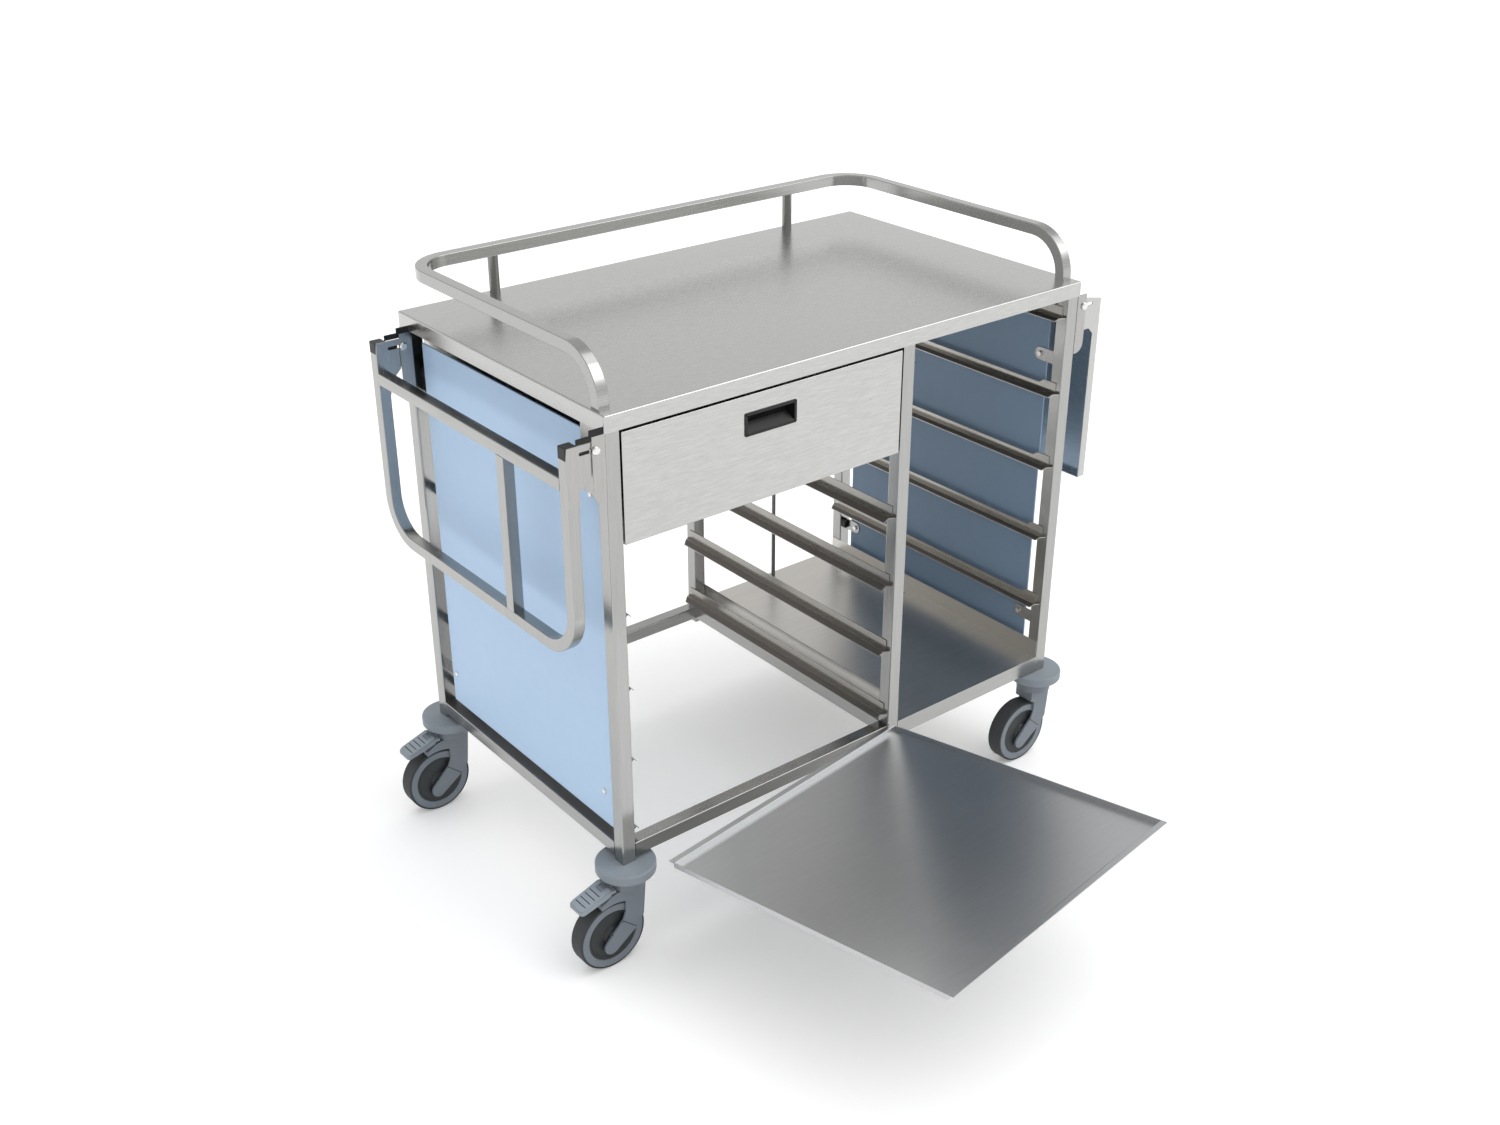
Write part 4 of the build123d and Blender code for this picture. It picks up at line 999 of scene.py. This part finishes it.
@dataclass
class Caster(Assembly):
    """One swivel caster: fork, wheel and, where it has one, its brake pedal."""

    name: str = CASTERS[0]
    wheel: WheelSizes = WheelSizes()
    groove: float = 2.0
    shell_round: float = 1.2
    fork_edge: float = 0.2

    def build(self) -> None:
        """Build the caster's pieces."""
        finishes = self.finishes
        # Narrow grooves of the fork and pedal take painted shade.
        grooves = (finishes.groove, partial(in_groove, width=self.groove))
        self.soften(
            f"{self.name}_caster_fork", finishes.caster, Slot.CASTER, self.shell_round, self.fork_edge,
            patch=grooves)
        self.paint(f"{self.name}_caster_axle", finishes.bright)
        if self.name in BRAKED:
            self.soften(
                f"{self.name}_brake_pedal", finishes.worn_caster, Slot.CASTER, self.shell_round, CUT_EDGE,
                f"{self.name}_pedal", grooves)
        self.build_wheel()

    def build_wheel(self) -> None:
        """Turn the tread, the disc and the two side rings."""
        low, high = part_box(f"{self.name}_wheel_tyre")
        middle = (low + high) / 2
        body = f"{self.name}_wheel"
        tread = new_piece(f"{self.name}_tyre_tread", turned(self.tread_profile(), middle, STEPS.tread))
        self.dress(tread, self.finishes.rubber, Slot.TYRE, f"{self.name}_wheel_tyre", body=body)
        disc = new_piece(f"{self.name}_wheel_disc", turned(self.disc_profile(), middle, STEPS.disc))
        self.dress(disc, self.finishes.hub, Slot.HUB, f"{self.name}_wheel_hub", body=body)
        for side, word in ((-1, "front"), (1, "rear")):
            profile = [(radius, side * depth) for radius, depth in self.ring_profile()]
            ring = new_piece(f"{self.name}_wheel_ring_{word}", turned(profile, middle, STEPS.tread))
            self.dress(ring, self.finishes.caster, Slot.TYRE, body=body)

    @staticmethod
    def both_sides(half: Outline) -> Outline:
        """Close an outline by its mirror image across the wheel's middle."""
        return half + [(radius, -depth) for radius, depth in reversed(half)]

    def tread_profile(self) -> Outline:
        """Draw the tread's outline with round shoulders.

        Returns:
            The closed outline, as radius and depth.
        """
        sizes = self.wheel
        drop = sizes.tread - sizes.shoulder
        turns = [step * math.pi / 2 / STEPS.shoulder for step in range(STEPS.shoulder + 1)]
        shoulder = [
            (sizes.shoulder + drop * math.sin(turn), sizes.half_width - drop * (1 - math.cos(turn)))
            for turn in turns
        ]
        return self.both_sides(
            [(sizes.ring_inner, sizes.disc_face), (sizes.shoulder, sizes.disc_face), *shoulder])

    def ring_profile(self) -> Outline:
        """Draw the outline of one grey side ring.

        Returns:
            The closed outline, as radius and depth.
        """
        sizes = self.wheel
        inner, outer = sizes.ring_inner, sizes.shoulder - sizes.ring_gap
        face, seat = sizes.ring_face, sizes.disc_face - sizes.ring_seat
        return [
            (inner, seat), (inner, face - sizes.ring_inner_edge), (inner + sizes.ring_inner_edge, face),
            (outer - sizes.ring_outer_edge, face), (outer, face - sizes.ring_outer_edge), (outer, seat),
        ]

    def disc_profile(self) -> Outline:
        """Draw the outline of the wheel's disc with its boss and bore.

        Returns:
            The closed outline, as radius and depth.
        """
        sizes = self.wheel
        dish = sizes.disc_face - sizes.disc_dish
        rim = sizes.ring_inner - sizes.disc_rim
        return self.both_sides([
            (sizes.bore, sizes.boss_face), (sizes.boss - sizes.boss_edge, sizes.boss_face),
            (sizes.boss, sizes.boss_face - sizes.boss_edge), (sizes.boss + sizes.boss_flare, dish),
            (rim - sizes.disc_slope, dish), (rim, sizes.disc_face),
            (sizes.ring_inner - sizes.disc_gap, sizes.disc_face),
        ])


@dataclass
class Studio:
    """Floor, light and camera. Places are in metres, angles in degrees and the sensor in millimetres."""

    camera_place: tuple[float, float, float] = (-1.6696, -2.0759, 1.8136)
    azimuth: float = -38.86
    elevation: float = 26.97
    sensor: float = 36.0
    focal_pixels: float = 1635.4
    image_width: float = 1500.0
    view_depth: float = 200.0
    floor_size: float = 60.0
    floor_colour: str = "#F4F4F4"
    floor_lift: float = 0.2
    lamp_from: tuple[float, float, float] = (0.45, -0.4, 0.8)
    lamp_angle: float = 55.0
    lamp_strength: float = 0.8
    sky_light: tuple[float, float] = (0.35, 1.65)
    sky_shown: tuple[float, float] = (1.0, 0.72)
    sky_band: tuple[float, float] = (0.2, 0.55)
    window_from: tuple[float, float, float] = (0.56, -0.58, 0.59)
    window_edge: tuple[float, float] = (0.93, 0.98)
    window_glow: float = 1.5

    def build(self) -> None:
        """Build the floor, the sky, the lamp and the camera."""
        self.build_floor()
        self.build_sky()
        self.build_lamp()
        self.build_camera()
        bpy.context.scene.view_settings.view_transform = "Standard"

    @staticmethod
    def shown_rays(tree: NodeTree) -> NodeSocket:
        """Pick out what the eye sees: straight, in a gloss or through glass.

        Args:
            tree: The node tree that needs to know.

        Returns:
            A socket that is one for those rays and zero for others.
        """
        rays = add_node(tree, "ShaderNodeLightPath")
        direct = add_node(tree, "ShaderNodeMath", {"operation": "MAXIMUM"}, {
            0: rays.outputs["Is Camera Ray"], 1: rays.outputs["Is Glossy Ray"]})
        shown = add_node(tree, "ShaderNodeMath", {"operation": "MAXIMUM"}, {
            0: direct.outputs["Value"], 1: rays.outputs["Is Transmission Ray"]})
        return shown.outputs["Value"]

    def build_floor(self) -> None:
        """Lay a plain white floor that keeps its shadows."""
        bm = bmesh.new()
        bmesh.ops.create_grid(bm, x_segments=1, y_segments=1, size=self.floor_size / 2)
        floor = new_piece("studio_floor", bm)
        material, tree = empty_material("white_studio_paper")
        paper = add_node(tree, "ShaderNodeBsdfDiffuse", inputs={"Color": linear(self.floor_colour)})
        lift = add_node(tree, "ShaderNodeMath", {"operation": "MULTIPLY"}, {
            0: self.shown_rays(tree), 1: self.floor_lift})
        glow = add_node(tree, "ShaderNodeEmission", inputs={"Strength": lift.outputs["Value"]})
        both = add_node(tree, "ShaderNodeAddShader", inputs={
            0: paper.outputs["BSDF"], 1: glow.outputs["Emission"]})
        add_node(tree, "ShaderNodeOutputMaterial", inputs={"Surface": both.outputs["Shader"]})
        floor.data.materials.append(material)

    def build_sky(self) -> None:
        """Light from above, with a white horizon that greys upwards for the eye and for gloss."""
        world = bpy.data.worlds.new("studio_sky")
        bpy.context.scene.world = world
        world.use_nodes = True
        tree = world.node_tree
        tree.nodes.clear()
        direction = add_node(tree, "ShaderNodeTexCoord").outputs["Generated"]
        height = add_node(tree, "ShaderNodeSeparateXYZ", inputs={"Vector": direction}).outputs["Z"]
        steep = add_node(tree, "ShaderNodeMath", {"operation": "MULTIPLY"}, {0: height, 1: height})
        light = add_node(tree, "ShaderNodeMapRange", inputs={
            "Value": steep.outputs["Value"], "To Min": self.sky_light[0], "To Max": self.sky_light[1]})
        shown = add_node(tree, "ShaderNodeMapRange", {"interpolation_type": "SMOOTHSTEP"}, {
            "Value": height, "From Min": self.sky_band[0], "From Max": self.sky_band[1],
            "To Min": self.sky_shown[0], "To Max": self.sky_shown[1]})
        near = add_node(tree, "ShaderNodeVectorMath", {"operation": "DOT_PRODUCT"}, {
            0: direction, 1: self.window_from})
        window = add_node(tree, "ShaderNodeMapRange", {"interpolation_type": "SMOOTHSTEP"}, {
            "Value": near.outputs["Value"], "From Min": self.window_edge[0], "From Max": self.window_edge[1],
            "To Max": self.window_glow})
        bright = add_node(tree, "ShaderNodeMath", {"operation": "ADD"}, {
            0: shown.outputs["Result"], 1: window.outputs["Result"]})
        strength = add_node(tree, "ShaderNodeMix", {"data_type": "FLOAT"}, {
            "Factor": self.shown_rays(tree), "A": light.outputs["Result"], "B": bright.outputs["Value"]})
        background = add_node(tree, "ShaderNodeBackground", inputs={
            "Color": (1, 1, 1, 1), "Strength": strength.outputs["Result"]})
        add_node(tree, "ShaderNodeOutputWorld", inputs={"Surface": background.outputs["Background"]})

    def build_lamp(self) -> None:
        """Add one broad soft light, high at the front right."""
        lamp = bpy.data.lights.new("studio_softbox", "SUN")
        lamp.angle = math.radians(self.lamp_angle)
        lamp.energy = self.lamp_strength
        holder = bpy.data.objects.new("studio_softbox", lamp)
        holder.rotation_mode = "QUATERNION"
        holder.rotation_quaternion = Vector(self.lamp_from).to_track_quat("Z", "Y")
        bpy.context.scene.collection.objects.link(holder)

    def build_camera(self) -> None:
        """Stand the camera where the photograph was taken."""
        camera = bpy.data.cameras.new("photo_camera")
        camera.sensor_fit = "HORIZONTAL"
        camera.sensor_width = self.sensor
        camera.lens = self.focal_pixels / self.image_width * self.sensor
        camera.clip_end = self.view_depth
        holder = bpy.data.objects.new("photo_camera", camera)
        holder.location = self.camera_place
        holder.rotation_euler = (math.radians(90 - self.elevation), 0, math.radians(self.azimuth))
        bpy.context.scene.collection.objects.link(holder)
        bpy.context.scene.camera = holder


def main() -> None:
    """Build the trolley round its frame."""
    logging.basicConfig(level=logging.INFO, format="%(message)s")
    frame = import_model()
    nodes, finishes = frame["nodes"], Finishes()
    Studio().build()
    for part in (TrolleyBody, Drawer, LeftFlap, RightFlap, Tray):
        part(nodes, finishes).build()
    for name in CASTERS:
        Caster(nodes, finishes, f"{name}_caster", name).build()


if __name__ == "__main__":
    main()
